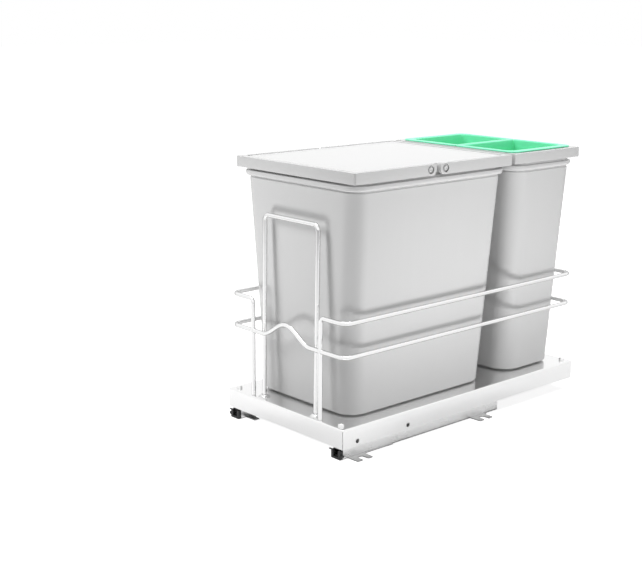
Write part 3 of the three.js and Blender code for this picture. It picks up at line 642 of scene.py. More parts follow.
class WASTE_UNIT_OT_tray(bpy.types.Operator):
    """Build the folded steel tray."""

    bl_idname = "waste_unit.tray"
    bl_label = "Tray"

    def execute(self, context):
        tray = add_piece("tray", [tray_shell(size("fold"))], "tray_steel", tray_cutters())
        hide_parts(*[f"tray_wall_{name}" for name in (*ENDS, *SIDES)])
        return {"FINISHED"}


# ---------------------------------------------------------------- rails

CHANNEL_HALF = 10
CHANNEL_HEIGHT = 16
MOUTH_HALF = 3.5  # half the gap between a channel's lips
FLANGE_HALF = 4.2  # the middle rail's flanges, from the low to the high level, and its web
FLANGE_LOW = 6
FLANGE_HIGH = 9
WEB_HALF = 1.2
TAB_STARTS = {10: 58, 268: 6}  # how far behind a rail's front each tab starts: length of its strip


def channel_section(x, hang_from=None):
    """The lipped channel and the size of each bend, hung upside down where a height is given."""
    inside, lip = CHANNEL_HALF - SHEET, CHANNEL_HEIGHT - SHEET
    half = [
        (CHANNEL_HALF, 0, 1.5), (CHANNEL_HALF, CHANNEL_HEIGHT, 1.0), (MOUTH_HALF, CHANNEL_HEIGHT, 0.3),
        (MOUTH_HALF, lip, 0.3), (inside, lip, 0.3), (inside, SHEET, 0.3),
    ]
    section = np.array([*half, *[(-a, b, c) for a, b, c in half[::-1]]])
    if hang_from is not None:
        section[:, 1] = hang_from - section[:, 1]
    return section[:, :2] + [x, 0], section[:, 2]


def foot_shell(x, front, tail):
    """A floor tab: a plate with an open screw slot and a narrow strip behind it."""
    root, reach, strip, end = x + 8.5, x + 30, x + 12, x + 17
    back, slot = front + 30, front + 15.5
    outline = [
        (root, front, 0.2), (reach, front, 2), (reach, slot - 5, 1.5), (end, slot - 5, 4.4),
        (end, slot + 5, 4.4), (reach, slot + 5, 1.5), (reach, back, 2), (strip, back, 4),
        (strip, back + tail, 1), (root, back + tail, 0.2),
    ]
    outline = np.array(outline)
    return prism_shell(soften(outline[:, :2], outline[:, 2], 6), 0, SHEET, 0.2)


def clip_shells(x, side, front):
    """The end clip: a slotted plate, a thin top tab and a latch prong on the outer side."""
    plate = np.array([
        (-9.5, 0, 1), (9.5, 0, 1), (9.5, 13, 1.2), (4.8, 13, 0.4), (4.8, 3.2, 0.6), (-4.8, 3.2, 0.6),
        (-4.8, 13, 0.4), (-9.5, 13, 1.2),
    ])
    tab = np.array([(-13.9, 11.4, 0.5), (-8.5, 11.4, 0.1), (-8.5, 13, 0.1), (-13.9, 13, 0.5)])
    prong = np.array([(8.5, 3.5, 0.2), (11.9, 3.5, 0.8), (13.9, 7.5, 0.8), (8.5, 7.5, 0.2)]) * [side, 1, 1]
    depths = [4.6, 2.3, 4.6]
    return [
        prism_shell(soften(part[:, :2], part[:, 2], 4) + [x, 0], front, front + depth, 0.3, "XZ")
        for part, depth in zip((plate, tab, prong), depths)
    ]


class WASTE_UNIT_OT_rails(bpy.types.Operator):
    """Build the telescopic rails and their end clips."""

    bl_idname = "waste_unit.rails"
    bl_label = "Rails"

    def execute(self, context):
        mid_half = [
            (FLANGE_HALF, FLANGE_LOW), (FLANGE_HALF, FLANGE_HIGH), (WEB_HALF, FLANGE_HIGH),
            (WEB_HALF, RAIL_TOP - FLANGE_HIGH), (FLANGE_HALF, RAIL_TOP - FLANGE_HIGH),
            (FLANGE_HALF, RAIL_TOP - FLANGE_LOW),
        ]
        mid = np.array([*mid_half, *[(-a, b) for a, b in mid_half[::-1]]])
        for name, side in SIDES.items():
            x = side * RAIL_X
            low, high = box_mm(f"fixed_rail_{name}")
            section, bends = channel_section(x)
            shells = [section_shell(section, low[1], high[1], bends)]
            shells += [foot_shell(x, low[1] + start, strip) for start, strip in TAB_STARTS.items()]
            add_piece(f"fixed_rail_{name}", shells, "rail_steel")
            low, high = box_mm(f"mid_rail_{name}")
            add_piece(f"mid_rail_{name}", [section_shell(mid + [x, 0], low[1], high[1], 0.5)], "rail_steel")
            low, high = box_mm(f"drawer_rail_{name}")
            section, bends = channel_section(x, RAIL_TOP)
            add_piece(f"drawer_rail_{name}", [section_shell(section, low[1], high[1], bends)], "rail_steel")
            front = box_mm(f"rail_clip_{name}")[0][1]
            add_piece(f"rail_clip_{name}", clip_shells(x, side, front), "clip_plastic")
            for level in ("lower", "upper"):
                dress(f"{level}_ball_cage_{name}", "bolt_steel")
        return {"FINISHED"}


# ---------------------------------------------------------------- bolts and nuts


STUD_RADIUS = 2.5
SMALL_NUT, LARGE_NUT = (8, 2.6), (10, 3.1)  # width over the flats and bore's radius
DOME = (4.5, 3.6)  # radius and height of a bolt's dome


def bolt_shells(x, y, low):
    """A dome bolt: a quarter ellipse on a short collar, turned about its axis, over a threaded stud."""
    turn = quarter_turn(10)[:-1]
    head = np.column_stack([DOME[0] * np.cos(turn), TRAY_TOP + 1.4 + DOME[1] * np.sin(turn)])
    profile = [(4.3, TRAY_TOP), (DOME[0], TRAY_TOP + 0.2), *head, (0.3, TRAY_TOP + 5.0)]
    return [lathe_shell(profile, [x, y, 0]), stud_shell(x, y, STUD_RADIUS, low, TRAY_TOP + 0.5)]


def flange_nut_shells(x, y, low, high):
    """A nut on a round flange, whose section is closed and turned about the nut's axis."""
    flange = [
        (3.8, low + 0.2), (8.8, low), (9.0, low + 0.3), (8.9, low + 1.0), (7.4, low + 1.8),
        (6.2, low + 2.8), (5.4, low + 3.6), (3.8, low + 3.6),
    ]
    return [
        lathe_shell(flange, [x, y, 0], sides=40, closed=True),
        nut_shell(x, y, 10, 3.8, low + 1.0, high),
    ]


class WASTE_UNIT_OT_fasteners(bpy.types.Operator):
    """Build the dome bolts and all the nuts."""

    bl_idname = "waste_unit.fasteners"
    bl_label = "Bolts and nuts"

    def execute(self, context):
        for place, end in ENDS.items():
            for name, side in SIDES.items():
                x, y = side * RAIL_X, end * BOLT_Y
                node = f"dome_bolt_{place}_{name}"
                add_piece(node, bolt_shells(x, y, levels_mm(node)[0]), "bolt_steel")
                node = f"rail_nut_{place}_{name}"
                add_piece(node, [nut_shell(x, y, *SMALL_NUT, *levels_mm(node))], "bolt_steel")
                node = f"post_nut_{place}_{name}"
                x, y = side * POST_X, middle_mm(node)[1]
                add_piece(node, [nut_shell(x, y, *SMALL_NUT, *levels_mm(node))], "bolt_steel")
        for name in SIDES:
            node = f"handle_lock_nut_{name}"
            x, y, _ = middle_mm(node)
            add_piece(node, [nut_shell(x, y, *LARGE_NUT, *levels_mm(node))], "bolt_steel")
            node = f"handle_flange_nut_{name}"
            add_piece(node, flange_nut_shells(x, y, *levels_mm(node)), "bolt_steel")
        return {"FINISHED"}


# ---------------------------------------------------------------- basket and handle

UPPER_Z = TRAY_TOP + 149.3
LOWER_Z = TRAY_TOP + 100.8
BASKET_X = TRAY_HALF_X - 4.1
BASKET_FRONT = -TRAY_HALF_Y + 6
BASKET_REAR = TRAY_HALF_Y - 9.7
REAR_POST_Y = BASKET_REAR - 6.5
POST_X = 75
BASKET_CORNER = 15
POST_BEND = 7
OVERLAP = 0.4  # how far one wire runs into the next at a weld
BELL_HALF, BELL_RISE = 54, 23
HANDLE_HALF = 58
HANDLE_FRONT = -TRAY_HALF_Y + 12.8
HANDLE_LEAN = 3  # how much further back its top lies


def weld_shell(point, reach):
    """A weld bead: an ellipsoid with a faint ripple round it, squashed between two wires."""
    tilt = np.linspace(0.02, math.pi - 0.02, 13)
    around = full_turn(20)
    ripple = 1 + 0.06 * np.sin(5 * around)[None, :] * np.sin(tilt)[:, None]
    unit = np.stack([
        np.sin(tilt)[:, None] * np.cos(around) * ripple,
        np.sin(tilt)[:, None] * np.sin(around) * ripple,
        np.cos(tilt)[:, None] + 0 * around,
    ], -1)
    return grid_shell(unit * reach + point)


class WASTE_UNIT_OT_basket(bpy.types.Operator):
    """Build the bent wires, posts and welds of the basket."""

    bl_idname = "waste_unit.basket"
    bl_label = "Basket"

    def execute(self, context):
        radius = size("wire") / 2

        def welds(reach):
            return [weld_shell([s * reach, BASKET_FRONT, LOWER_Z], [2.6, 3.6, 3.7]) for s in SIDES.values()]

        low = levels_mm("basket_upper_wire")[0]
        loop = [
            [-BASKET_X, BASKET_FRONT, BASKET_CORNER], [-BASKET_X, BASKET_REAR, BASKET_CORNER],
            [BASKET_X, BASKET_REAR, BASKET_CORNER], [BASKET_X, BASKET_FRONT, BASKET_CORNER],
        ]
        upper = [
            [-POST_X, BASKET_FRONT, TRAY_TOP, 0], [-POST_X, BASKET_FRONT, UPPER_Z, POST_BEND],
            *[[x, y, UPPER_Z, r] for x, y, r in loop],
            [POST_X, BASKET_FRONT, UPPER_Z, POST_BEND], [POST_X, BASKET_FRONT, TRAY_TOP, 0],
        ]
        shells = [tube_shell(bent_path(upper), radius)]
        shells += [stud_shell(x, BASKET_FRONT, STUD_RADIUS, low, TRAY_TOP + 1) for x in (-POST_X, POST_X)]
        add_piece("basket_upper_wire", shells, "chrome_wire")
        reach = POST_X + radius - OVERLAP
        lower = [
            [-reach, BASKET_FRONT, LOWER_Z, 0], *[[x, y, LOWER_Z, r] for x, y, r in loop],
            [reach, BASKET_FRONT, LOWER_Z, 0],
        ]
        shells = [tube_shell(bent_path(lower), radius, ease=0.2), *welds(reach)]
        add_piece("basket_lower_wire", shells, "chrome_wire")
        # Bell: the height above the lower wire is half the rise times one plus the cosine across its width.
        across = np.linspace(-BELL_HALF, BELL_HALF, 49)
        bell = BELL_RISE / 2 * (1 + np.cos(math.pi * across / BELL_HALF))
        end, foot = POST_X - radius + OVERLAP, BELL_HALF + 6
        x = np.concatenate([[-end, -foot], across, [foot, end]])
        z = np.concatenate([[0, 0], bell, [0, 0]])
        path = np.column_stack([x, np.full(len(x), BASKET_FRONT), LOWER_Z + z])
        shells = [tube_shell(path, radius, ease=0.2), *welds(end)]
        add_piece("basket_front_hump_wire", shells, "chrome_wire")
        for name, side in SIDES.items():
            node = f"basket_rear_post_{name}"
            low, high = levels_mm(node)
            x, y = side * POST_X, REAR_POST_Y
            path = np.array([[x, y, z] for z in (TRAY_TOP, TRAY_TOP + 70, high)])
            shells = [tube_shell(path, radius), stud_shell(x, y, STUD_RADIUS, low, TRAY_TOP + 1)]
            shells += [weld_shell([x, y + radius, z], [3.4, 1.6, 3.0]) for z in (UPPER_Z, LOWER_Z)]
            add_piece(node, shells, "chrome_wire")
        return {"FINISHED"}


class WASTE_UNIT_OT_handle(bpy.types.Operator):
    """Build the pull handle."""

    bl_idname = "waste_unit.handle"
    bl_label = "Handle"

    def execute(self, context):
        radius = size("handle") / 2
        low, high = levels_mm("handle")
        top, back = high - radius, HANDLE_FRONT + HANDLE_LEAN
        corners = [
            [-HANDLE_HALF, HANDLE_FRONT, TRAY_TOP + 0.3, 0], [-HANDLE_HALF, back, top, 8],
            [HANDLE_HALF, back, top, 8], [HANDLE_HALF, HANDLE_FRONT, TRAY_TOP + 0.3, 0],
        ]
        shells = [tube_shell(bent_path(corners, 18), radius, 24)]
        shells += [
            stud_shell(x, HANDLE_FRONT, 3, low, TRAY_TOP + 1, 1.0) for x in (-HANDLE_HALF, HANDLE_HALF)
        ]
        add_piece("handle", shells, "chrome_wire")
        return {"FINISHED"}


# ---------------------------------------------------------------- bins, bails, ring, lid and inserts

BAND_HALF_X = TRAY_HALF_X - 0.6
BAND_BOTTOM = TRAY_TOP + 340.7
BAND_TOP = TRAY_TOP + 356
NECK_TOP = TRAY_TOP + 351.7
LEDGE = (TRAY_TOP + 328, TRAY_TOP + 336.3)
GROOVE = 1.9  # depth of the groove below the ledge
FOOT_HEIGHT = 6.0
LIFT = 1.8  # how far the foot's edge stands above the tray
# A bin's rims, from the foot up: inset from the band in X and in Y, and corner radius.
FOOT, WALL_FOOT, WALL_TOP = (28.9, 22.7, 27), (24.8, 18.6, 31), (6.4, 7.5, 27)
LEDGE_RIM, NECK = (1.9, 3.3, 27), (10.2, 12.4, 22)
REAR_NECK_HALF = BAND_HALF_X - 5.5
REAR_WALLS = ((6, 3), (-2, -8))  # slimmer and rounder, for the rear bin's front and back half
FRONT_LOW, FRONT_HIGH = box_mm("front_bail")[0], box_mm("rear_bail")[1]
FRONT_Y = (FRONT_LOW[1] + FRONT_HIGH[1]) / 2
FRONT_HALF = (FRONT_HIGH[1] - FRONT_LOW[1]) / 2
REAR_LOW, REAR_HIGH = box_mm("rear_ring")
REAR_Y = (REAR_LOW[1] + REAR_HIGH[1]) / 2
REAR_HALF = (REAR_HIGH[1] - REAR_LOW[1]) / 2
PIVOT_Z = TRAY_TOP + 348.6
PIVOT_Y = 15.6
TAIL_REACH = 12  # from a pivot to the bail's tail
TAIL_LOW, TAIL_HIGH = 9, 3.5  # radii of the tail's lower and upper corner
TAIL_DROP = 0.8  # how far a bail reaches below the ring
BAND_ROUND = 0.7  # bevel of the band's edges
PIN_SEAT, RECESS_SEAT, RECESS_RADIUS = 3.4, 3.6, 6.2


def bin_shell(half_y, wall, neck_x=None, slimmer=0, rounder=0):
    """A bin as one closed skin of rounded rectangles: a base set in under the foot, the foot's quarter
    ellipse, the wall that opens evenly up to a groove, the ledge on a quarter ellipse, and the neck. The
    same way goes down inside, a wall further in. Slimmer and rounder move the wall and its corners only."""

    def fit(inset, half_x=None, more=(0, 0)):
        return np.array([half_x or BAND_HALF_X - inset[0], half_y - inset[1] - more[0], inset[2] + more[1]])

    def run(rim, base, steps):
        return [(rim, base + rise, inset) for rise, inset in steps]

    foot, wall_foot = (fit(part, more=(slimmer, rounder)) for part in (FOOT, WALL_FOOT))
    wall_top, ledge = fit(WALL_TOP, more=(slimmer * 0.6, rounder * 0.3)), fit(LEDGE_RIM)
    neck = fit(NECK, neck_x)
    throat = np.minimum(neck, wall_top - GROOVE)
    low, (high, shoulder) = TRAY_TOP + FOOT_HEIGHT, LEDGE
    turn = quarter_turn(10)
    curve = list(zip(foot + (wall_foot - foot) * np.sin(turn)[:, None], 1 - np.cos(turn), np.sin(turn)))
    levels = run(foot, TRAY_TOP, ((0, 6), (1.2, 6), (LIFT, 5.2), (LIFT, 0.6)))
    levels += [(rim, TRAY_TOP + LIFT + (FOOT_HEIGHT - LIFT) * climb, 0) for rim, climb, _ in curve]
    rise = high - 3 - low
    levels += [(wall_foot + (wall_top - wall_foot) * s, low + rise * s, 0) for s in np.linspace(0, 1, 12)[1:]]
    levels += run(wall_top, high, ((-2.5, 0.4), (-1.9, 1.2), (-1.1, 1.8), (-0.4, GROOVE), (0, 1.4)))
    levels += run(ledge, high, ((0.2, 3.6), (0.7, 2.2), (1.5, 1.1), (2.6, 0.35), (3.8, 0)))
    levels += run(ledge, shoulder, ((-1.3, 0), (-0.4, 0.35), (0, 1.2)))
    levels += run(neck, shoulder, ((0, -1.2), (0.35, -0.35), (1.2, 0)))
    levels += run(neck, NECK_TOP, ((-0.8, 0), (-0.2, 0.25), (0, 0.8)))
    levels += run(neck, NECK_TOP, ((0, wall - 0.8), (-0.2, wall - 0.25), (-0.8, wall)))
    levels += [
        (neck, shoulder - 0.5, wall), (throat, shoulder - 2.5, wall), (throat, high - wall - 1.5, wall),
        (wall_foot + (wall_top - wall_foot) * 0.96, high - 11, wall),
    ]
    rise = high - 2 - low
    levels += [(wall_foot + (wall_top - wall_foot) * s, low + rise * s, wall) for s in np.linspace(0.9, 0, 8)]
    levels += [
        (rim, TRAY_TOP + 4 + (FOOT_HEIGHT - 2) * climb, wall * (1 + sine) / 2)
        for rim, climb, sine in curve[-2::-1]
    ]
    return [(*(rim - inset), z) for rim, z, inset in levels]


def band_section(outer, wall, flange, bottom, top):
    """Six corners of the band's section for each column: outer edge, flat top, flange and wall inside."""
    under = BAND_TOP - 4
    corners = [(outer, bottom), (outer, top), (flange, top), (flange, under), (wall, under), (wall, bottom)]
    return np.stack([np.column_stack([plan, height + 0 * plan[:, 0]]) for plan, height in corners], 1)


def bail_shell(end):
    """Half of the front band: two arms and a bar. Columns run along the U from one tail to the other. Near
    the tails the lower edge rises and the upper one falls by a circle's radius less the root of its square
    less that of what is left of the radius."""
    tail, bar = end * (PIVOT_Y - TAIL_REACH), end * FRONT_HALF
    near = np.array([0, 0.25, 0.8, 1.6, 2.5, 3.5, 4.7, 6.0, 7.4, 9.0])  # columns that round a tail

    def plan(inset_x, inset_y, radius):
        half, stop = BAND_HALF_X - inset_x, bar - end * inset_y
        arm = np.concatenate([tail + end * near, np.linspace(tail + end * 20, stop - end * (radius + 2), 8)])
        turn = quarter_turn(9)
        corner = np.column_stack([
            half - radius * (1 - np.cos(turn)), stop - end * radius * (1 - np.sin(turn)),
        ])
        side = np.concatenate([np.column_stack([np.full(len(arm), half), arm]), corner])
        middle = np.column_stack([np.linspace(half - radius, -half + radius, 11)[1:-1], np.full(9, stop)])
        return np.concatenate([side, middle, (side * [-1, 1])[::-1]])

    outer = plan(0, 0, 3)
    count = len(outer)
    run = np.full(count, 99.0)
    run[: len(near)] = near
    run[-len(near):] = near[::-1]
    low, high = (np.sqrt(r**2 - np.clip(r - run, 0, r) ** 2) for r in (TAIL_LOW, TAIL_HIGH))
    bottom = BAND_BOTTOM + (TAIL_LOW - TAIL_DROP) - low
    top = BAND_TOP - TAIL_HIGH + high
    section = band_section(outer, plan(4.9, 11, 6), plan(9, 11, 6), bottom, top)
    return grid_shell(soften(section, BAND_ROUND, 3) + [0, FRONT_Y, 0])


def pin_shell(end, side):
    """A pivot pin: a shank in the neck and a flat head with an eased rim and a shallow dish."""
    seat, face, root = BAND_HALF_X - PIN_SEAT, BAND_HALF_X - 0.1, BAND_HALF_X - 12.1
    profile = np.array([
        (1.7, root), (2.0, root + 0.3), (2.0, seat), (3.4, seat), (3.7, seat + 0.3), (3.7, face - 0.4),
        (3.4, face - 0.05), (3.0, face), (1.8, face), (1.4, face - 0.15), (1.1, face - 0.5), (0.2, face - 0.5),
    ])
    profile[:, 1] *= side
    return lathe_shell(profile, [0, FRONT_Y + end * PIVOT_Y, PIVOT_Z], "X", 32)


def ring_shell():
    """The rear bin's one-piece ring: the same section, closed round the bin."""
    outer = rounded_loop(BAND_HALF_X, REAR_HALF, 3)
    wall = rounded_loop(BAND_HALF_X - 4.9, REAR_HALF - 11, 22)
    flange = rounded_loop(BAND_HALF_X - 9, REAR_HALF - 11, 22)
    section = band_section(outer, wall, flange, BAND_BOTTOM, BAND_TOP)
    return grid_shell(soften(section, BAND_ROUND, 3) + [0, REAR_Y, 0], closed=True)


def lid_shell():
    """The lid: a plate with an eased edge and a panel sunk a little below its border, on a skirt."""
    plate, skirt = (BAND_HALF_X - 10.6, FRONT_HALF - 12.6), (BAND_HALF_X - 13, FRONT_HALF - 15.2)
    low, top = levels_mm("front_lid")
    under = top - 3.2
    levels = [
        (skirt, 2, 17, under), (skirt, 2, 17, low + 0.4), (skirt, 1.7, 17, low), (skirt, 0.3, 19, low),
        (skirt, 0, 19, low + 0.4), (skirt, 0, 19, under - 0.6), (skirt, -0.3, 19, under),
        (plate, 0.4, 6, under), (plate, 0, 6, under + 0.4), (plate, 0, 6, top - 1.1),
        (plate, 0.3, 6, top - 0.35), (plate, 1.1, 6, top), (plate, 9, 6, top), (plate, 9.8, 6, top - 0.1),
        (plate, 10.8, 6, top - 0.7), (plate, 11.6, 6, top - 0.8),
    ]
    rings = [(x - inset, y - inset, max(radius - inset, 1), z) for (x, y), inset, radius, z in levels]
    return grid_shell(ring_grid(rings, FRONT_Y))


OFFSET = 4  # how far a tub stands off the middle of its rim
TAPER = 10
TUB_DEPTH = 180
TUB_CORNERS = (14, 4)  # corner radii by the bin's side and by the other insert


def insert_shell(x, wall):
    """A lift-out insert: a tapered tub under a flat rim, as one closed skin. The tub stands nearer to the
    other insert than to the bin's side, and its corners there are tighter."""
    half_x = (BAND_HALF_X - 10.6) / 2
    rim, mouth = (half_x, REAR_HALF - 5.4), (half_x - 12 + OFFSET, REAR_HALF - 15.2)
    top = levels_mm("green_insert_left")[1]
    under, base = top - 1.8, top - TUB_DEPTH
    middle = (base + under) / 2
    levels = [
        (mouth, TAPER + 2, base), (mouth, TAPER + 0.8, base + 0.6), (mouth, TAPER + 0.1, base + 2.2),
        (mouth, TAPER, base + 4), (mouth, TAPER / 2, middle), (mouth, 0.4, under - 2), (mouth, 0, under - 0.6),
        (mouth, -0.6, under), (rim, 0.3, under), (rim, 0, under + 0.3), (rim, 0, top - 0.7),
        (rim, 0.2, top - 0.2), (rim, 0.7, top), (mouth, 0.2, top), (mouth, 0.9, top - 0.2),
        (mouth, 1.5, top - 0.9), (mouth, wall, top - 2.4), (mouth, TAPER / 2 + wall, middle),
        (mouth, TAPER + wall, base + 6), (mouth, TAPER + 0.4 + wall, base + 3.4),
        (mouth, TAPER + 2.2 + wall, base + wall),
    ]

    def grid(radius):
        rings = [(half[0] - inset, half[1] - inset, max(radius - inset, 0.8), z) for half, inset, z in levels]
        return ring_grid(rings, REAR_Y)

    wide, tight = (grid(radius) for radius in TUB_CORNERS)
    shell = np.where(wide[..., :1] * x > 0, wide, tight) + [x, 0, 0]
    shell[[half is mouth for half, *_ in levels], :, 0] -= OFFSET * np.sign(x)
    return grid_shell(shell)


class WASTE_UNIT_OT_bins(bpy.types.Operator):
    """Build the two bins."""

    bl_idname = "waste_unit.bins"
    bl_label = "Bins"

    def execute(self, context):
        wall = size("wall")
        shell = grid_shell(ring_grid(bin_shell(FRONT_HALF, wall), FRONT_Y, 16, 7))
        add_piece("front_bin", [shell], "bin_plastic")
        front, rear = (
            ring_grid(bin_shell(REAR_HALF, wall, REAR_NECK_HALF, *change), REAR_Y, 16, 7)
            for change in REAR_WALLS
        )
        shell = grid_shell(np.where(front[..., 1:2] < REAR_Y, front, rear))
        add_piece("rear_bin", [shell], "bin_plastic")
        return {"FINISHED"}


class WASTE_UNIT_OT_bails(bpy.types.Operator):
    """Build the two bails with their pins, and the rear ring."""

    bl_idname = "waste_unit.bails"
    bl_label = "Bails and ring"

    def execute(self, context):
        seat, mouth = BAND_HALF_X - RECESS_SEAT, BAND_HALF_X + 2
        for place, end in ENDS.items():
            centre = [0, FRONT_Y + end * PIVOT_Y, PIVOT_Z]
            recesses = [
                lathe_shell([(RECESS_RADIUS, side * seat), (RECESS_RADIUS, side * mouth)], centre, "X", 36)
                for side in SIDES.values()
            ]
            add_piece(f"{place}_bail", [bail_shell(end)], "bin_plastic", recesses)
            for name, side in SIDES.items():
                add_piece(f"bail_pin_{place}_{name}", [pin_shell(end, side)], "bin_plastic")
        add_piece("rear_ring", [ring_shell()], "bin_plastic")
        return {"FINISHED"}


class WASTE_UNIT_OT_lid(bpy.types.Operator):
    """Build the front bin's lid."""

    bl_idname = "waste_unit.lid"
    bl_label = "Lid"

    def execute(self, context):
        add_piece("front_lid", [lid_shell()], "lid_plastic")
        return {"FINISHED"}


class WASTE_UNIT_OT_inserts(bpy.types.Operator):
    """Build the two lift-out inserts."""

    bl_idname = "waste_unit.inserts"
    bl_label = "Inserts"

    def execute(self, context):
        for name in SIDES:
            shell = insert_shell(middle_mm(f"green_insert_{name}")[0], size("insert_wall"))
            add_piece(f"green_insert_{name}", [shell], "green_plastic")
        return {"FINISHED"}


# ---------------------------------------------------------------- stage


WORLD_LIGHT = 0.05
PAPER = (0.8, 0.8, 0.8, 1)
FLOOR_HALF = 14.0
FLOOR_DROP = 0.0003
GLOW_SPAN = (0.5, 1.0)  # distances over which the floor's glow rises to plain white
SEEN_GLOW, MIRRORED_GLOW, MOUTH_GLOW = 0.8, 0.18, 0.5
MOUTH_DEPTH = 90  # how far behind the tray's front edge the floor below still glows
# Lamp: place, the point it faces, width, depth, power.
LAMPS = {
    "low_left_lamp": ((-0.21, -0.64, 0.012), (-0.21, -0.64, 1.0), 0.18, 0.24, 2.1),
    "low_right_lamp": ((0.53, -0.03, 0.012), (0.53, -0.03, 1.0), 0.34, 0.4, 2.6),
    "high_left_lamp": ((-0.9, -1.7, 1.6), (0, 0, 0.2), 1.0, 1.0, 25),
    "right_lamp": ((2.1, 0.42, 0.7), (0, 0, 0.2), 0.8, 0.8, 13),
    "rear_lamp": ((-0.5, 1.3, 1.7), (0, 0, 0.4), 1.2, 1.2, 18),
    "top_lamp": ((0, 0.1, 2.4), (0, 0.1, 0.2), 1.2, 1.2, 28),
}
MIRRORED_LAMPS = ("top_lamp",)
CAMERA_PLACE = (1.2898, -1.3538, 0.6254)
CAMERA_YAW, CAMERA_PITCH, CAMERA_ROLL = 48.046, 12.958, 0.345
CAMERA_LENS, CAMERA_FILM = 68.43, 36


def mirror_rays(tree, path):
    """A mask that is 1 for the rays by which metal and glass see things."""
    return math_node(tree, "MAXIMUM", path["Is Glossy Ray"], path["Is Transmission Ray"])


def white_background(tree, strength):
    """Light that is white where camera, glossy and transmission rays see it, and has the given strength
    for all others."""
    path = tree.nodes.new("ShaderNodeLightPath").outputs
    seen = math_node(tree, "MAXIMUM", path["Is Camera Ray"], mirror_rays(tree, path))
    light = tree.nodes.new("ShaderNodeBackground")
    light.inputs["Color"].default_value = (1, 1, 1, 1)
    tree.links.new(math_node(tree, "MULTIPLY_ADD", seen, 1.0 - strength, strength), light.inputs["Strength"])
    return light.outputs[0]


def white_floor(tree, shader):
    """White paper with a glow for camera rays, which rises to plain white away from the unit, and another for
    glossy and transmission rays. Under the unit only a strip behind the tray's front edge has the second."""
    path = tree.nodes.new("ShaderNodeLightPath").outputs
    place = tree.nodes.new("ShaderNodeTexCoord").outputs["Object"]
    reach = tree.nodes.new("ShaderNodeVectorMath")
    reach.operation = "LENGTH"
    tree.links.new(place, reach.inputs[0])
    seen = ramp(tree, reach.outputs["Value"], *GLOW_SPAN, SEEN_GLOW, 1.0)
    axes = tree.nodes.new("ShaderNodeSeparateXYZ")
    tree.links.new(place, axes.inputs[0])
    # The glow for mirror rays is painted light on the floor; it is left out under the unit, where the unit's
    # shadow falls, except for the strip behind the tray's front edge.
    beyond = []
    for axis, middle, half in (("X", MIDDLE_X * MM, TRAY_HALF_X * MM), ("Y", 0.0, TRAY_HALF_Y * MM)):
        away = math_node(tree, "ABSOLUTE", math_node(tree, "SUBTRACT", axes.outputs[axis], middle))
        beyond.append(math_node(tree, "GREATER_THAN", away, half))
    beyond = math_node(tree, "MAXIMUM", *beyond)
    mouth = math_node(tree, "LESS_THAN", axes.outputs["Y"], (MOUTH_DEPTH - TRAY_HALF_Y) * MM)
    mouth = math_node(tree, "MULTIPLY", mouth, MOUTH_GLOW)
    mouth = math_node(tree, "MULTIPLY", math_node(tree, "SUBTRACT", 1.0, beyond), mouth)
    level = math_node(tree, "ADD", math_node(tree, "MULTIPLY", beyond, MIRRORED_GLOW), mouth)
    level = math_node(tree, "MULTIPLY", mirror_rays(tree, path), level)
    level = math_node(tree, "MULTIPLY_ADD", path["Is Camera Ray"], seen, level)
    glow = tree.nodes.new("ShaderNodeEmission")
    glow.inputs["Color"].default_value = (1, 1, 1, 1)
    tree.links.new(level, glow.inputs["Strength"])
    both = tree.nodes.new("ShaderNodeAddShader")
    tree.links.new(glow.outputs[0], both.inputs[0])
    tree.links.new(shader.outputs[0], both.inputs[1])
    return both.outputs[0]


def add_lamp(name, place, aim, width, depth, power):
    """A soft rectangular lamp at a place, turned to face a point, and unseen by the camera."""
    light = bpy.data.lights.new(name, "AREA")
    light.shape, light.size, light.size_y, light.energy = "RECTANGLE", width, depth, power
    lamp = bpy.data.objects.new(name, light)
    bpy.context.scene.collection.objects.link(lamp)
    back = np.array(place, float) - np.array(aim, float)
    back /= np.linalg.norm(back)
    right = np.cross([0, 1, 0] if abs(back[2]) > 0.9 else [0, 0, 1], back)
    right /= np.linalg.norm(right)
    turn = np.eye(4)
    turn[:3, :3] = np.column_stack([right, np.cross(back, right), back])
    turn[:3, 3] = place
    lamp.matrix_world = Matrix(turn.tolist())
    lamp.visible_camera = False
    lamp.visible_glossy = name in MIRRORED_LAMPS


def add_camera():
    """The photograph's camera, from its solved place, turn, pitch, roll and focal length."""
    yaw, pitch, roll = (math.radians(v) for v in (CAMERA_YAW, CAMERA_PITCH, CAMERA_ROLL))
    back = np.array([math.sin(yaw) * math.cos(pitch), -math.cos(yaw) * math.cos(pitch), math.sin(pitch)])
    right = np.array([math.cos(yaw), math.sin(yaw), 0])
    up = np.cross(back, right)
    c, s = math.cos(roll), math.sin(roll)
    turn = np.eye(4)
    turn[:3, :3] = np.column_stack([c * right + s * up, -s * right + c * up, back])
    turn[:3, 3] = CAMERA_PLACE
    data = bpy.data.cameras.new("camera")
    data.sensor_fit, data.sensor_width, data.lens = "HORIZONTAL", CAMERA_FILM, CAMERA_LENS
    data.clip_start, data.clip_end = 0.05, 60
    camera = bpy.data.objects.new("camera", data)
    bpy.context.scene.collection.objects.link(camera)
    camera.matrix_world = Matrix(turn.tolist())
    bpy.context.scene.camera = camera


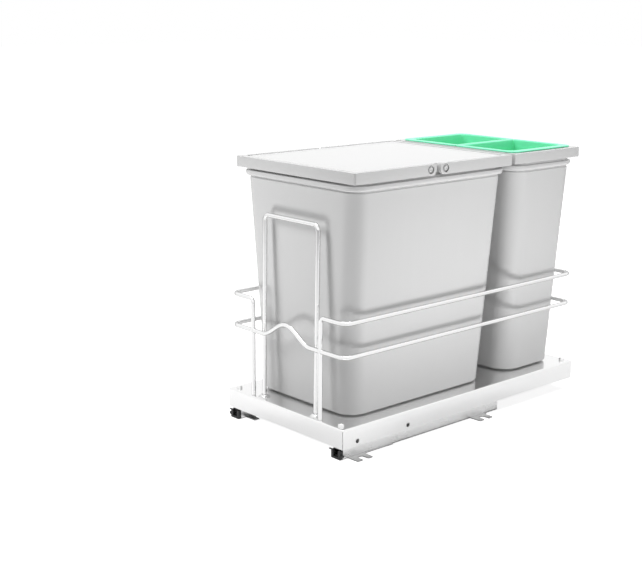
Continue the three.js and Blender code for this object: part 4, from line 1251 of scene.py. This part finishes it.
class WASTE_UNIT_OT_stage(bpy.types.Operator):
    """Set up the floor, light, background and camera."""

    bl_idname = "waste_unit.stage"
    bl_label = "Stage"

    def execute(self, context):
        scene = context.scene
        scene.view_settings.view_transform = "Standard"
        world = bpy.data.worlds.new("studio")
        scene.world = world
        world.use_nodes = True
        world.cycles.sampling_method = "NONE"
        tree = world.node_tree
        tree.links.new(white_background(tree, WORLD_LIGHT), tree.nodes["World Output"].inputs["Surface"])
        mesh = bpy.data.meshes.new("floor")
        corners = FLOOR_HALF * np.array([(-1, -1), (1, -1), (1, 1), (-1, 1)])
        mesh.from_pydata(np.column_stack([corners, np.full(4, -FLOOR_DROP)]), [], [[0, 1, 2, 3]])
        floor = bpy.data.objects.new("floor", mesh)
        scene.collection.objects.link(floor)
        paper = bpy.data.materials.new("floor_paper")
        paper.use_nodes = True
        paper.cycles.emission_sampling = "NONE"
        tree = paper.node_tree
        shader = tree.nodes["Principled BSDF"]
        shader.inputs["Roughness"].default_value = 0.9
        shader.inputs["Specular IOR Level"].default_value = 0.0
        shader.inputs["Base Color"].default_value = PAPER
        tree.links.new(white_floor(tree, shader), tree.nodes["Material Output"].inputs["Surface"])
        mesh.materials.append(paper)
        for name, lamp in LAMPS.items():
            add_lamp(name, *lamp)
        add_camera()
        return {"FINISHED"}


class WASTE_UNIT_PT_panel(bpy.types.Panel):
    """Lists the steps that build the unit."""

    bl_idname = "WASTE_UNIT_PT_panel"
    bl_label = "Waste unit"
    bl_space_type = "VIEW_3D"
    bl_region_type = "UI"
    bl_category = "Waste unit"

    def draw(self, context):
        for settings in (context.scene.waste_unit_sizes, context.scene.waste_unit_colours):
            box = self.layout.box()
            for name in settings.__annotations__:
                box.prop(settings, name)
        for step in STEPS:
            self.layout.operator(step.bl_idname)


STEPS = (
    WASTE_UNIT_OT_stage, WASTE_UNIT_OT_tray, WASTE_UNIT_OT_rails, WASTE_UNIT_OT_fasteners, WASTE_UNIT_OT_basket,
    WASTE_UNIT_OT_handle, WASTE_UNIT_OT_bins, WASTE_UNIT_OT_bails, WASTE_UNIT_OT_lid, WASTE_UNIT_OT_inserts,
)
CLASSES = (WasteUnitColours, WasteUnitSizes, *STEPS, WASTE_UNIT_PT_panel)


def register():
    """Adds the panel, the steps and the settings."""
    for made in CLASSES:
        bpy.utils.register_class(made)
    bpy.types.Scene.waste_unit_colours = bpy.props.PointerProperty(type=WasteUnitColours)
    bpy.types.Scene.waste_unit_sizes = bpy.props.PointerProperty(type=WasteUnitSizes)


def unregister():
    """Takes them away again."""
    del bpy.types.Scene.waste_unit_sizes
    del bpy.types.Scene.waste_unit_colours
    for made in reversed(CLASSES):
        bpy.utils.unregister_class(made)


def main():
    """Builds the whole unit."""
    register()
    for step in STEPS:
        getattr(bpy.ops.waste_unit, step.bl_idname.split(".")[1])()


if __name__ == "__main__":
    main()
